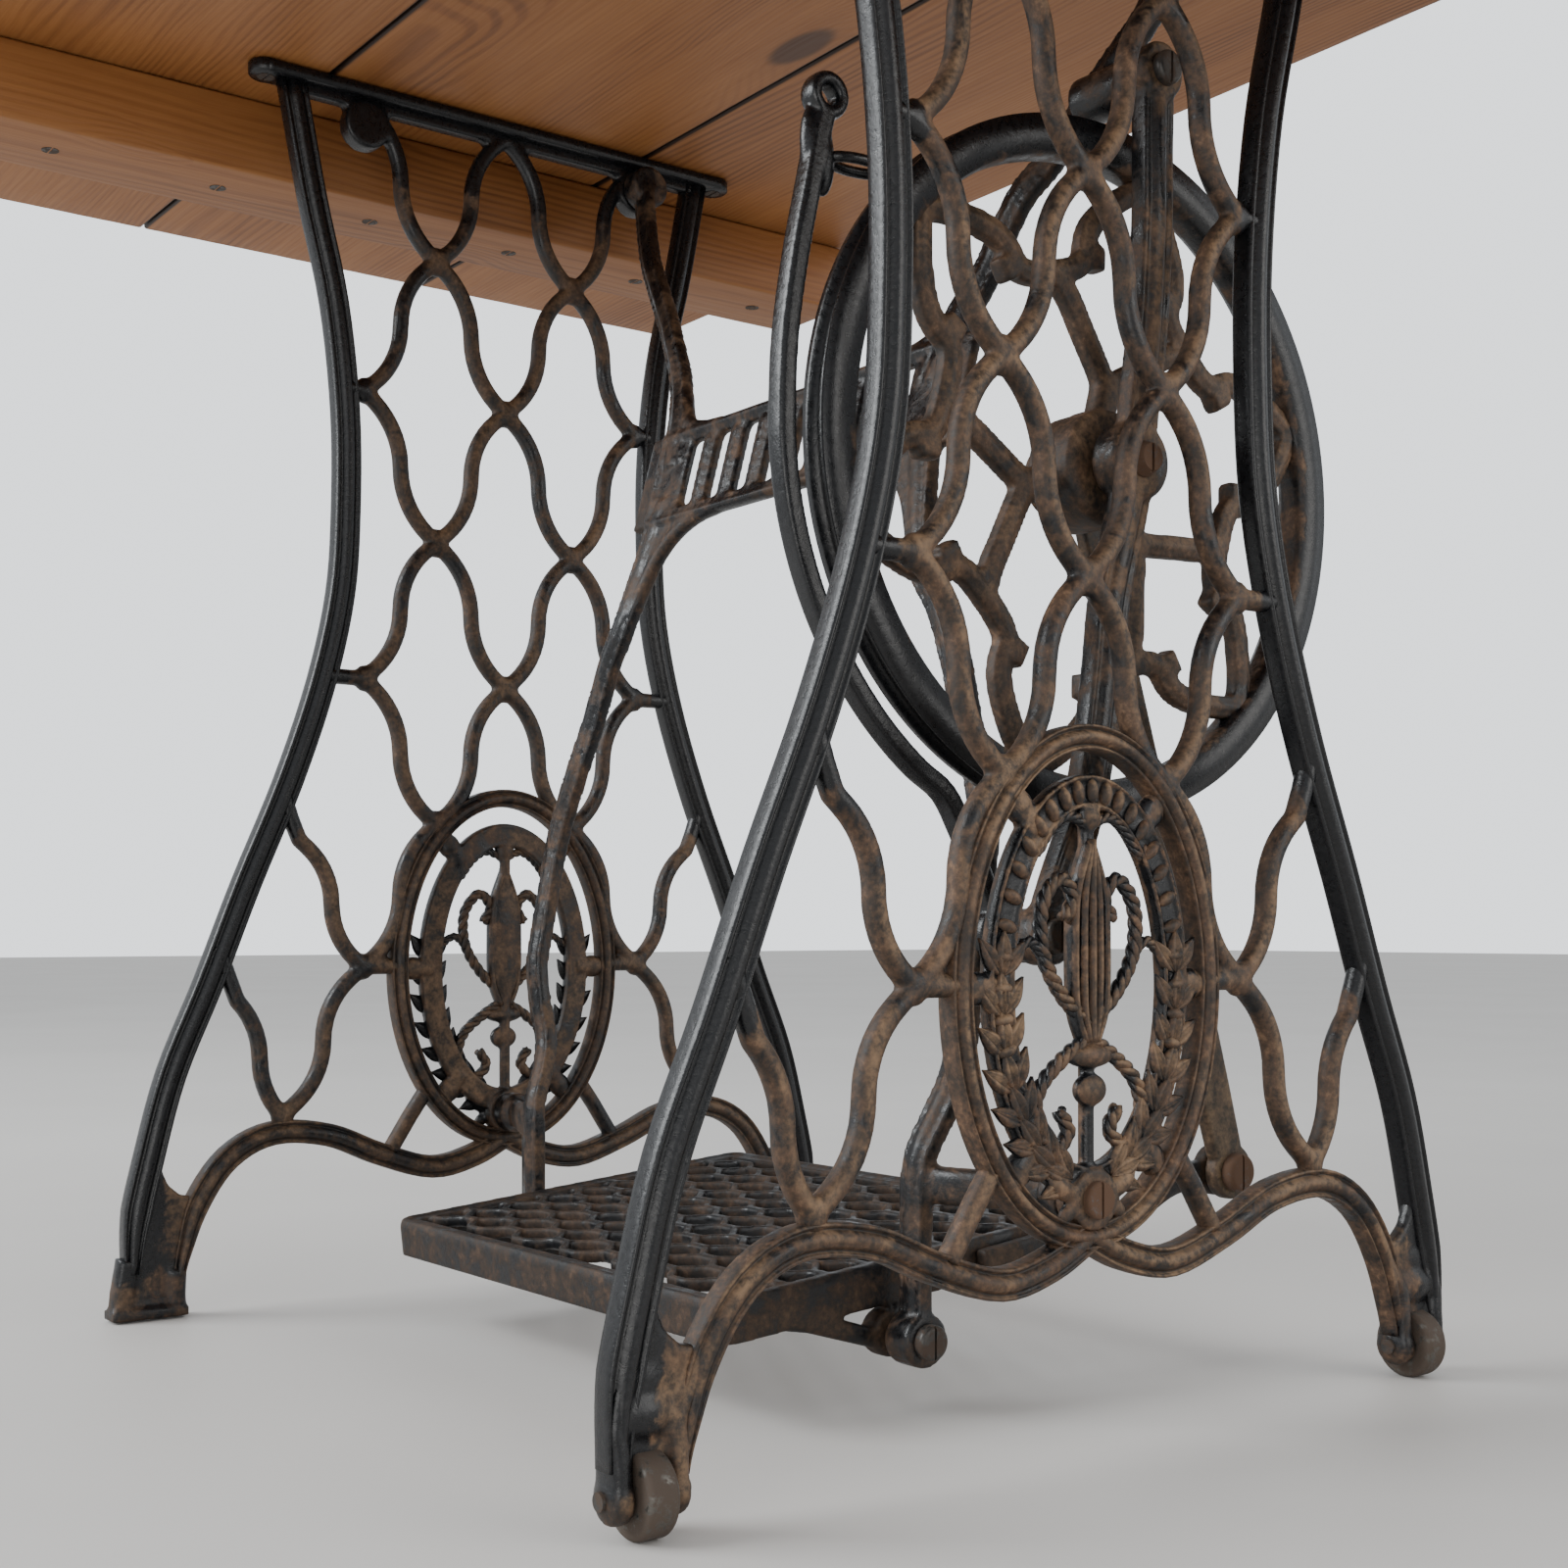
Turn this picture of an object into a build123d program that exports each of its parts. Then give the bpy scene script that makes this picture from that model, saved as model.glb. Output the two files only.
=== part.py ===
"""Treadle-iron sewing table: two cast side frames, a leaning back brace with
the treadle, a flywheel on a bracket, a pitman rod, a dress guard and a top of
three reclaimed planks on two battens.

Axes: +X towards the flywheel side, -Y towards the person sitting at the table,
+Z up. The origin is on the floor under the middle of the top. Millimetres.
"""
import os
from math import atan, cos, degrees, hypot, radians, sin, tan

from build123d import *

os.makedirs("parts", exist_ok=True)

# ---- driving dimensions -------------------------------------------------
rail_top = 710.0
table_length = 1130.0
table_depth = 640.0
plank_thickness = 25.0
plank_joint = 1.2
front_joint_y = -118.0
rear_joint_y = 97.0

cleat_inner_x = 302.0
cleat_width = 70.0
cleat_height = 45.0
cleat_depth = 610.0

frame_mid_x = 250.0
frame_thickness = 12.0
strand_width = 9.5
post_width = 15.0
rail_half_length = 165.0
rail_thickness = 8.0
rail_width = 22.0
rail_screw_places = (-155, 155)
oval_centre_z = 191.0
brace_top_bolt = (94.0, 688.0)
brace_low_bolt = (0.0, 102.6)
frame_bolt_radius = 5.0
brace_arm_width = 15.0
brace_thickness = 11.0
brace_plate_length = 254.0
brace_plate_height = 58.0
brace_plate_z = 471.0
brace_slot = (36.0, 11.0)
brace_slot_pitch = 26.0
brace_slot_count = 8
bar_width = 13.0
strut_width = 9.0
lug_radius = 15.0
oval_outer = (77.0, 109.0)
oval_inner = (67.0, 99.0)
band_outer = (57.0, 88.0)
band_inner = (44.0, 75.0)
bridge_turns = (0, 52, 128, 180, 232, 308)
foot_pad = (22.0, 44.0)
foot_pad_y = 222.0
foot_pad_height = 7.0
trim_box = (60.0, 600.0)

foot_y = 219.0
caster_radius = 16.0
caster_width = 13.0
caster_pin_radius = 3.5
fork_depth = 20.0
fork_top_z = 54.0
fork_block = 20.0

axle_y = 53.0
axle_z = 422.0
wheel_radius = 158.0
rim_depth = 18.0
rim_inner_x = 191.0
rim_width = 16.0
hub_radius = 27.0
axle_radius = 8.0
crank_throw = 28.0
crank_angle = 40.0
crank_pin_radius = 6.0

pivot_y = -25.0
pivot_z = 34.0
pivot_radius = 5.0
leg_x = 170.0
leg_thickness = 17.0
treadle_tilt = 5.5
treadle_half_width = 155.0
treadle_front = -96.0
treadle_back = 133.0
treadle_top_z = 67.0
treadle_rim = 12.0
treadle_depth = 20.0

pitman_low_y = 182.0
pitman_low_z = 93.0
pitman_inner_x = 164.5
pitman_thickness = 8.0

bracket_inner_x = 219.0
bracket_thickness = 14.0
bracket_top = (67.0, 598.0)
bracket_low = (-1.0, 212.0)

guard_radius = 172.0
guard_thickness = 9.0
guard_inner_x = 192.0
guard_width = 11.0

hub_inner_x = 185.0
hub_outer_x = 214.0
crank_thickness = 10.0
wave_rows = 10
wave_count = 6

running_gap = 0.05
frame_inner_x = frame_mid_x - frame_thickness / 2
frame_outer_x = frame_mid_x + frame_thickness / 2


def save(shape, name):
    """Label a finished piece and write it under its node name."""
    shape.label = name
    export_step(shape, f"parts/{name}.step")


def ogee(start, end, lean=50.0):
    """S-shaped strand between two lattice nodes.

    It leaves both nodes leaning by `lean` degrees from the vertical and runs
    upright at its middle: a short straight, two arcs and a short straight.
    """
    across = (end[0] - start[0]) / 2
    rise = (end[1] - start[1]) / 2
    flattest = degrees(2 * atan(abs(across) / abs(rise)))
    steepest = degrees(atan(abs(across) / abs(rise)))
    lean = max(min(lean, flattest - 0.5), steepest + 0.5)
    slope = radians(lean)
    side = 1 if across > 0 else -1
    way = 1 if rise > 0 else -1
    # straight * sin + radius * (1 - cos) = across, straight * cos + radius * sin = rise
    bend = (1 - cos(slope)) / sin(slope)
    straight = (abs(across) - bend * abs(rise)) / (sin(slope) - bend * cos(slope))
    step = (side * straight * sin(slope), way * straight * cos(slope))
    middle = (start[0] + across, start[1] + rise)
    first = (start[0] + step[0], start[1] + step[1])
    last = (end[0] - step[0], end[1] - step[1])
    Line(start, first)
    TangentArc(first, middle, tangent=step)
    TangentArc(last, middle, tangent=(-step[0], -step[1]))
    Line(last, end)


def planks():
    """Three boards side by side, with a dark gap at each joint."""
    edges = [-table_depth / 2, front_joint_y, rear_joint_y, table_depth / 2]
    names = ["plank_front", "plank_middle", "plank_rear"]
    for name, near, far in zip(names, edges[:-1], edges[1:]):
        low = near + (plank_joint / 2 if near != edges[0] else 0)
        high = far - (plank_joint / 2 if far != edges[-1] else 0)
        with BuildPart() as plank:
            with BuildSketch(Plane.XY.offset(rail_top)):
                with Locations((0, (low + high) / 2)):
                    Rectangle(table_length, high - low)
            extrude(amount=plank_thickness)
            chamfer(plank.edges().filter_by(Axis.X), length=1.5)
        save(plank.part, name)


def cleats():
    """A batten under each end of the top, held by six screws each."""
    for name, side in (("cleat_left", -1), ("cleat_right", 1)):
        middle = side * (cleat_inner_x + cleat_width / 2)
        with BuildPart() as cleat:
            with BuildSketch(Plane.XY.offset(rail_top - cleat_height)):
                with Locations((middle, 0)):
                    Rectangle(cleat_width, cleat_depth)
            extrude(amount=cleat_height)
            with Locations(cleat.faces().sort_by(Axis.Z)[0]):
                with GridLocations(0, 100, 1, 6):
                    CounterSinkHole(radius=2.6, counter_sink_radius=5.2)
        save(cleat.part, name)


def wood_screw(length):
    """Countersunk slotted wood screw, pointing up, head face at z = 0."""
    with BuildPart() as screw:
        with BuildSketch(Plane.XZ):
            with BuildLine():
                Polyline((0, 0), (4.9, 0), (4.9, 0.6), (2.4, 3.1), (2.4, length - 5), (0, length), close=True)
            make_face()
        revolve(axis=Axis.Z)
        Box(12, 1.1, 1.2, mode=Mode.SUBTRACT)
    return screw.part


def bolt(shank_radius, length, head_radius, head_height, slotted=True):
    """Bolt whose head sits on z = 0 and whose shank runs down from it."""
    with BuildPart() as part:
        Cylinder(head_radius, head_height, align=(Align.CENTER, Align.CENTER, Align.MIN))
        fillet(part.edges().filter_by(GeomType.CIRCLE).sort_by(Axis.Z)[-1], radius=head_height * 0.45)
        if slotted:
            with Locations((0, 0, head_height)):
                Box(head_radius * 3, 1.3, 2.2, mode=Mode.SUBTRACT)
        with BuildSketch(Plane.XY):
            Circle(shank_radius)
        extrude(amount=-length)
    return part.part


def facing(position, normal):
    """Location whose local +Z points along `normal`."""
    return Plane(origin=position, z_dir=normal).location


# ---- side frames ----------------------------------------------------------
lattice_base_z = 107.5
lattice_pitch = 84.9
lattice_half_cell = 47.0


def level(k):
    return lattice_base_z + lattice_pitch * k


def arc_chain(*points):
    """Arcs through an odd number of points, three to an arc."""
    for first in range(0, len(points) - 2, 2):
        ThreePointArc(points[first], points[first + 1], points[first + 2])


def post_line():
    """Centre line of the right-hand post, from the rail to the floor."""
    arc_chain((140, 704), (127, 640), (113, 580), (106, 518), (105.5, 460), (109, 410), (121, 357),
              (141, 299), (166, 240), (188, 184), (209, 134), (222, 86), (231, 40))


def lattice_lines():
    """Right half of the strands, with the nodes on a diamond grid."""
    cell = lattice_half_cell
    for upper, lower in ((7, 5), (5, 3)):
        for outer in (0, 2 * cell):
            ogee((outer, level(upper)), (cell, level(upper - 1)))
            ogee((cell, level(upper - 1)), (outer, level(lower)))
    ogee((0, level(3)), (cell, level(2)))
    ogee((2 * cell, level(3)), (cell, level(2)))
    ogee((cell, level(2)), (2 * cell, level(1)))
    Line((143, 290), (134, 266))
    ogee((134, 266), (2 * cell, level(1)))
    ogee((2 * cell, level(1)), (144, level(0)))
    Line((180, 200), (171, 174))
    ogee((171, 174), (144, level(0)))
    Line((2 * cell, level(5)), (107, level(5)))
    Line((2 * cell, level(3)), (119, level(3)))
    Line((2 * cell, level(1)), (72, level(1)))


def bottom_bar_line():
    """Right half of the wavy bar, from the middle to the inner side of the foot."""
    arc_chain((-2, 89), (22, 76), (50, 72), (84, 82), (116, 95), (150, 98), (176, 86), (194, 62), (203, 30))


def medallion():
    """Oval frame with a pierced inner band and a plain rosette on a stem."""
    with Locations((0, oval_centre_z)):
        Ellipse(*oval_outer)
        Ellipse(*oval_inner, mode=Mode.SUBTRACT)
        add(inner_band())


def inner_band():
    """Band on short bridges, with a rosette on a stem and the bolt boss."""
    with BuildSketch(mode=Mode.PRIVATE) as band:
        Ellipse(*band_outer)
        Ellipse(*band_inner, mode=Mode.SUBTRACT)
        for turn in bridge_turns:
            with Locations((62 * cos(radians(turn)), 94 * sin(radians(turn)))):
                Circle(8.5)
        with PolarLocations(15, 8):
            Circle(7)
        Circle(13)
        Rectangle(7, 2 * 78)
        with GridLocations(0, 2 * 44, 1, 2):
            Circle(10)
        with Locations((0, -88)):
            Circle(13)
    return band.sketch


def foot_outline():
    """Web between the post and the bar above the right foot."""
    Polyline((201, 70), (206, 36), (206, 0), (241, 0), (237, 34), (229, 74), close=True)


def side_frame(name, side, on_casters):
    """One lattice casting; the flywheel side stands on two casters."""
    middle = Plane.YZ.offset(side * frame_mid_x)
    half = frame_thickness / 2
    with BuildPart() as frame:
        with BuildSketch(middle):
            with BuildLine():
                lattice_lines()
            trace(line_width=strand_width)
            with BuildLine():
                Line((55, 115), (76, 84))
            trace(line_width=strut_width)
            mirror(about=Plane.YZ)
            medallion()
            with Locations(brace_top_bolt, (-brace_top_bolt[0], brace_top_bolt[1])):
                Circle(lug_radius)
            with Locations((0, rail_top - rail_thickness - 2)):
                Rectangle(286, 10)
            with BuildLine():
                post_line()
            trace(line_width=post_width)
            with BuildLine():
                bottom_bar_line()
            trace(line_width=bar_width)
            with BuildLine():
                foot_outline()
            make_face()
            mirror(about=Plane.YZ)
        extrude(amount=half, both=True)
        with BuildSketch(Plane.XY.offset(rail_top)):
            with Locations((side * frame_mid_x, 0)):
                SlotOverall(2 * rail_half_length, rail_width, rotation=90)
        extrude(amount=-rail_thickness)
        # the post and the bar are trimmed flush with the rail and the floor
        with BuildSketch(Plane.XY.offset(rail_top)):
            with Locations((side * frame_mid_x, 0)):
                Rectangle(*trim_box)
        extrude(amount=20, mode=Mode.SUBTRACT)
        with BuildSketch(Plane.XY):
            with Locations((side * frame_mid_x, 0)):
                Rectangle(*trim_box)
        extrude(amount=-20, mode=Mode.SUBTRACT)
        if on_casters:
            for end in (-1, 1):
                with Locations((side * frame_mid_x, end * foot_y, 0)):
                    Box(60, 60, fork_top_z - 8, align=(Align.CENTER, Align.CENTER, Align.MIN),
                        mode=Mode.SUBTRACT)
                add(caster_fork(side, end))
        else:
            with BuildSketch(Plane.XY):
                with Locations((side * frame_mid_x, foot_pad_y), (side * frame_mid_x, -foot_pad_y)):
                    RectangleRounded(*foot_pad, 5)
            extrude(amount=foot_pad_height)
        screw_places = [(side * frame_mid_x, y, rail_top - rail_thickness) for y in rail_screw_places]
        with Locations(*screw_places):
            Cylinder(2.7, 40, mode=Mode.SUBTRACT)
            Cone(5.2, 2.7, 3.2, align=(Align.CENTER, Align.CENTER, Align.MIN), mode=Mode.SUBTRACT)
        bolt_ways = [brace_low_bolt, brace_top_bolt, (-brace_top_bolt[0], brace_top_bolt[1])]
        with BuildSketch(middle):
            with Locations(*bolt_ways):
                Circle(frame_bolt_radius + 0.2)
        extrude(amount=20, both=True, mode=Mode.SUBTRACT)
    save(frame.part, name)


def caster_fork(side, end):
    """Square fork under one foot: a block, two round-ended cheeks and the pin hole."""
    x = side * frame_mid_x
    y = end * foot_y
    slot = caster_width + 1.6
    cheek = 8.5
    with BuildPart() as fork:
        with Locations((x, y, fork_top_z)):
            Box(fork_depth, slot + 2 * cheek, fork_block, align=(Align.CENTER, Align.CENTER, Align.MAX))
        for way in (-1, 1):
            with Locations((x, y + way * (slot + cheek) / 2, fork_top_z)):
                Box(fork_depth, cheek, fork_top_z - caster_radius,
                    align=(Align.CENTER, Align.CENTER, Align.MAX))
            with Locations((x, y + way * (slot + cheek) / 2, caster_radius)):
                Cylinder(fork_depth / 2, cheek, rotation=(90, 0, 0))
        with Locations((x, y, caster_radius)):
            Cylinder(caster_pin_radius + 0.1, 60, rotation=(90, 0, 0), mode=Mode.SUBTRACT)
    return fork.part


def casters():
    """The two rollers and the pins they turn on."""
    for name, end in (("caster_wheel_front", -1), ("caster_wheel_rear", 1)):
        with BuildPart() as wheel:
            with BuildSketch(Plane.XZ.offset(-end * foot_y)):
                with Locations((frame_mid_x, caster_radius)):
                    Circle(caster_radius)
                    Circle(caster_pin_radius + running_gap, mode=Mode.SUBTRACT)
            extrude(amount=caster_width / 2, both=True)
            rims = wheel.edges().filter_by(GeomType.CIRCLE).sort_by(SortBy.LENGTH)[-2:]
            fillet(rims, radius=2.5)
        save(wheel.part, name)
    with BuildPart() as pins:
        for end in (-1, 1):
            with BuildSketch(Plane.XZ.offset(-end * foot_y)):
                with Locations((frame_mid_x, caster_radius)):
                    Circle(caster_pin_radius)
            extrude(amount=18.5, both=True)
    save(pins.part, "caster_pins")


# ---- back brace --------------------------------------------------------------
def brace_side_line():
    """How the brace leans, seen from the end: (y, z) from the top to the legs."""
    Spline((92, 704), (80, 632), (69, 595), (52, 530), (40, 497), (26, 445), (13, 388), (9, 336),
           (2, 279), (-5, 230), (-11, 180), (-13, 148), (-24, 112), (-25, 70), (-25, 20))


def brace_upper_arm():
    """Centre line of the right arm above the plate, seen from the front."""
    Spline((118, 484), (125, 515), (134, 535), (163, 577), (193, 613), (214, 645), (234, 688))


def brace_lower_arm():
    """Centre line of the right arm below the plate, down to the pivot."""
    Spline((116, 452), (124, 405), (145, 365), (169, 309), (179, 275), (183, 235), (184, 195),
           (179, 148), (leg_x, 112), (leg_x, 26))


def pierced_plate():
    """Bordered plate with a row of plain upright slots."""
    with Locations((0, brace_plate_z)):
        Rectangle(brace_plate_length, brace_plate_height)
        with GridLocations(brace_slot_pitch, 0, brace_slot_count, 1):
            SlotOverall(*brace_slot, rotation=90, mode=Mode.SUBTRACT)


def back_brace():
    """Four curved arms and a pierced plate, with bosses for every bolt."""
    with BuildPart() as brace:
        with BuildSketch(Plane.XZ):
            with BuildLine():
                brace_upper_arm()
            trace(line_width=brace_arm_width)
            with BuildLine():
                brace_lower_arm()
            trace(line_width=brace_arm_width)
            with BuildLine():
                Polyline((50, 449), (98, 440), (118, 405), (129, 405), (127, 470), close=True)
            make_face()
            mirror(about=Plane.YZ)
            pierced_plate()
        extrude(amount=130, both=True)
        with BuildSketch(Plane.YZ):
            with BuildLine():
                brace_side_line()
            trace(line_width=brace_thickness)
        extrude(amount=300, both=True, mode=Mode.INTERSECT)
        for side in (-1, 1):
            # top eye, side lug and leg boss, each turned towards the side frame
            with BuildSketch(Plane.YZ.offset(side * frame_inner_x)):
                with Locations(brace_top_bolt):
                    Circle(13)
            extrude(amount=-side * 14)
            with BuildSketch(Plane.YZ.offset(side * frame_inner_x)):
                with Locations(brace_low_bolt):
                    Circle(12)
            extrude(amount=-side * 12)
            with BuildSketch(Plane.XY.offset(brace_low_bolt[1] - 8)):
                with BuildLine():
                    Polyline((side * (leg_x - 6), -28), (side * 236, -9), (side * 236, 9),
                             (side * (leg_x - 6), -16), close=True)
                make_face()
            extrude(amount=16)
            with BuildSketch(Plane.YZ.offset(side * leg_x)):
                with Locations((pivot_y, pivot_z)):
                    Circle(12)
            extrude(amount=leg_thickness / 2, both=True)
        # pads for the wheel bracket
        with BuildSketch(Plane.YZ.offset(bracket_inner_x)):
            with Locations(bracket_top):
                Circle(12)
        extrude(amount=-38)
        with BuildSketch(Plane.YZ.offset(guard_inner_x)):
            with Locations(bracket_low):
                Circle(12)
        extrude(amount=-14)
        with BuildSketch(Plane.YZ):
            with Locations(brace_top_bolt, brace_low_bolt):
                Circle(frame_bolt_radius + 0.2)
            with Locations((pivot_y, pivot_z)):
                Circle(pivot_radius + 0.2)
        extrude(amount=300, both=True, mode=Mode.SUBTRACT)
        with BuildSketch(Plane.YZ):
            with Locations(bracket_top, bracket_low):
                Circle(4.2)
        extrude(amount=300, mode=Mode.SUBTRACT)
    save(brace.part, "back_brace")


# ---- wheel bracket, axle and dress guard -----------------------------------------
def wheel_bracket():
    """Bowed upright bar that carries the wheel's axle outside the brace."""
    middle = Plane.YZ.offset(bracket_inner_x + bracket_thickness / 2)
    with BuildPart() as bracket:
        with BuildSketch(middle):
            with BuildLine():
                Spline(bracket_top, (67, 530), (63, 485), (axle_y, axle_z), (39, 360), (31, 300), (19, 258),
                       bracket_low)
            trace(line_width=19)
            with Locations(bracket_top, bracket_low):
                Circle(13)
        extrude(amount=bracket_thickness / 2, both=True)
        with BuildSketch(Plane.YZ.offset(bracket_inner_x)):
            with Locations(bracket_low):
                Circle(12)
        extrude(amount=guard_inner_x + guard_width - bracket_inner_x)
        with BuildSketch(Plane.YZ.offset(hub_outer_x + 1.5)):
            with Locations((axle_y, axle_z)):
                Circle(18)
        extrude(amount=bracket_inner_x + bracket_thickness - hub_outer_x)
        with BuildSketch(Plane.YZ):
            with Locations((axle_y, axle_z)):
                Circle(axle_radius)
            with Locations(bracket_top, bracket_low):
                Circle(4.2)
        extrude(amount=300, mode=Mode.SUBTRACT)
    save(bracket.part, "wheel_bracket")


def wheel_axle():
    """Fixed stud with a slotted, coned outer end, and its locking nut."""
    outer_end = bracket_inner_x + bracket_thickness
    with BuildPart() as axle:
        with BuildSketch(Plane.YZ.offset(hub_inner_x + 1)):
            with Locations((axle_y, axle_z)):
                Circle(axle_radius)
        extrude(amount=outer_end - hub_inner_x)
        with BuildSketch(Plane.YZ.offset(outer_end + 1)):
            with Locations((axle_y, axle_z)):
                Circle(axle_radius)
        extrude(amount=5, taper=22)
        with Locations((outer_end + 6, axle_y, axle_z)):
            Box(3, 1.6, 30, mode=Mode.SUBTRACT)
    save(axle.part, "wheel_axle")


def dress_guard():
    """Curved bar in front of the wheel, with an eyed head and a bolted foot."""
    middle = Plane.YZ.offset(guard_inner_x + guard_width / 2)
    start = (axle_y - guard_radius, axle_z)
    turn = radians(240)
    end = (axle_y + guard_radius * cos(turn), axle_z + guard_radius * sin(turn))
    half_turn = radians(210)
    between = (axle_y + guard_radius * cos(half_turn), axle_z + guard_radius * sin(half_turn))
    with BuildPart() as guard:
        with BuildSketch(middle):
            with BuildLine():
                Spline((-98, 552), (-106, 520), start, tangents=((-0.2, -1), (0, -1)))
                ThreePointArc(start, between, end)
                Spline(end, (-10, 236), bracket_low, tangents=((-sin(turn), cos(turn)), (0.5, -1)))
            trace(line_width=guard_thickness)
            with Locations(bracket_low):
                Circle(14)
        extrude(amount=guard_width / 2, both=True)
        with BuildSketch(middle):
            with Locations((-97, 556)):
                Circle(10)
        extrude(amount=6, both=True)
        with BuildSketch(middle):
            with Locations((-97, 557)):
                Circle(3)
        extrude(amount=20, both=True, mode=Mode.SUBTRACT)
        with BuildSketch(middle):
            with Locations(bracket_low):
                Circle(4.2)
        extrude(amount=40, both=True, mode=Mode.SUBTRACT)
    save(guard.part, "dress_guard")


def belt_guide():
    """Flat wire loop behind the guard's head that steers the drive belt."""
    with BuildPart() as guide:
        with BuildSketch(Plane.XY.offset(530)):
            with Locations((guard_inner_x + guard_width / 2, -80)):
                SlotOverall(34, 18, rotation=90)
                SlotOverall(24, 8, rotation=90, mode=Mode.SUBTRACT)
        extrude(amount=5)
    save(guide.part, "belt_guide")


# ---- flywheel and pitman ------------------------------------------------------------
def flywheel():
    """Band wheel: a grooved rim, looping spokes and a long hub."""
    with BuildPart() as wheel:
        with BuildSketch(Plane.XZ):
            with BuildLine():
                Polyline((rim_inner_x, wheel_radius - rim_depth), (rim_inner_x, wheel_radius),
                         (rim_inner_x + 6, wheel_radius), (rim_inner_x + 10, wheel_radius - 4),
                         (rim_inner_x + 14, wheel_radius), (rim_inner_x + rim_width, wheel_radius),
                         (rim_inner_x + rim_width, wheel_radius - rim_depth), close=True)
            make_face()
            with Locations(((hub_inner_x + hub_outer_x) / 2, hub_radius / 2)):
                Rectangle(hub_outer_x - hub_inner_x, hub_radius)
        revolve(axis=Axis.X)
        with BuildSketch(Plane.YZ.offset(rim_inner_x + rim_width / 2)):
            with BuildLine():
                for scallop_number in range(6):
                    scallop(45 + 60 * scallop_number)
                for spoke in range(3):
                    forked_spoke(75 + 120 * spoke)
            trace(line_width=10)
        extrude(amount=5, both=True)
        with BuildSketch(Plane.YZ):
            Circle(axle_radius + running_gap)
        extrude(amount=300, mode=Mode.SUBTRACT)
    save(wheel.part.moved(Location((0, axle_y, axle_z))), "flywheel")


def polar(radius, angle):
    return (radius * cos(radians(angle)), radius * sin(radians(angle)))


def scallop(centre):
    """U-shaped strand hanging from the rim, with a knuckle at each shoulder."""
    for way in (-1, 1):
        arc_chain(polar(wheel_radius - rim_depth + 4, centre + way * 31), polar(121, centre + way * 19.5),
                  polar(97, centre + way * 14), polar(91, centre + way * 6.8), polar(90, centre))


def forked_spoke(centre):
    """Spoke that leaves the hub and forks to two neighbouring scallops."""
    Line(polar(hub_radius - 6, centre), polar(42, centre))
    for way in (-1, 1):
        arc_chain(polar(42, centre), polar(60, centre + way * 16.5), polar(91, centre + way * 30))


def crank_pin_place():
    turn = radians(crank_angle)
    return (axle_y + crank_throw * cos(turn), axle_z + crank_throw * sin(turn))


def crank():
    """Crank web on the hub's inner face, its pin, and the pin's nut."""
    pin = crank_pin_place()
    with BuildPart() as web:
        with BuildSketch(Plane.YZ.offset(hub_inner_x)):
            with Locations(((axle_y + pin[0]) / 2, (axle_z + pin[1]) / 2)):
                SlotOverall(crank_throw + 34, 34, rotation=crank_angle)
            with Locations(pin):
                Circle(crank_pin_radius, mode=Mode.SUBTRACT)
        extrude(amount=-crank_thickness)
    save(web.part, "crank")
    with BuildPart() as stud:
        with BuildSketch(Plane.YZ.offset(hub_inner_x)):
            with Locations(pin):
                Circle(crank_pin_radius)
        extrude(amount=-(hub_inner_x - pitman_inner_x + 8))
    save(stud.part, "crank_pin")
    with BuildPart() as nut:
        with BuildSketch(Plane.YZ.offset(pitman_inner_x - 0.5)):
            with Locations(pin):
                RegularPolygon(10, 6, major_radius=False)
                Circle(crank_pin_radius, mode=Mode.SUBTRACT)
        extrude(amount=-6)
    save(nut.part, "crank_pin_nut")


def pitman():
    """Connecting rod from the crank pin down to the treadle's arm."""
    top = crank_pin_place()
    low = (pitman_low_y, pitman_low_z)
    with BuildPart() as rod:
        with BuildSketch(Plane.YZ.offset(pitman_inner_x)):
            with BuildLine():
                rod_outline(top, low)
            make_face()
            with Locations(top):
                Circle(15)
            with Locations(low):
                Circle(14)
            with Locations(top):
                Circle(crank_pin_radius + running_gap + 3, mode=Mode.SUBTRACT)
            with Locations(low):
                Circle(5.2, mode=Mode.SUBTRACT)
        extrude(amount=pitman_thickness)
    save(rod.part, "pitman_rod")
    with BuildPart() as bush:
        with BuildSketch(Plane.YZ.offset(pitman_inner_x)):
            with Locations(top):
                Circle(crank_pin_radius + running_gap + 3)
                Circle(crank_pin_radius + running_gap, mode=Mode.SUBTRACT)
        extrude(amount=pitman_thickness)
    save(bush.part, "pitman_bush")
    head = bolt(5.0, pitman_thickness, 9.5, 6.0)
    outer_face = pitman_inner_x + pitman_thickness
    save(facing((outer_face, low[0], low[1]), (1, 0, 0)) * head, "pitman_bolt")


def rod_outline(top, low):
    """Four-sided rod, widest a third of the way up."""
    length = hypot(low[0] - top[0], low[1] - top[1])
    along = ((top[0] - low[0]) / length, (top[1] - low[1]) / length)
    across = (along[1], -along[0])

    def at(distance, offset):
        return (low[0] + along[0] * distance + across[0] * offset,
                low[1] + along[1] * distance + across[1] * offset)

    Polyline(at(0, 11), at(length * 0.3, 12), at(length, 8), at(length, -8), at(length * 0.3, -12),
             at(0, -11), close=True)


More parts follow.
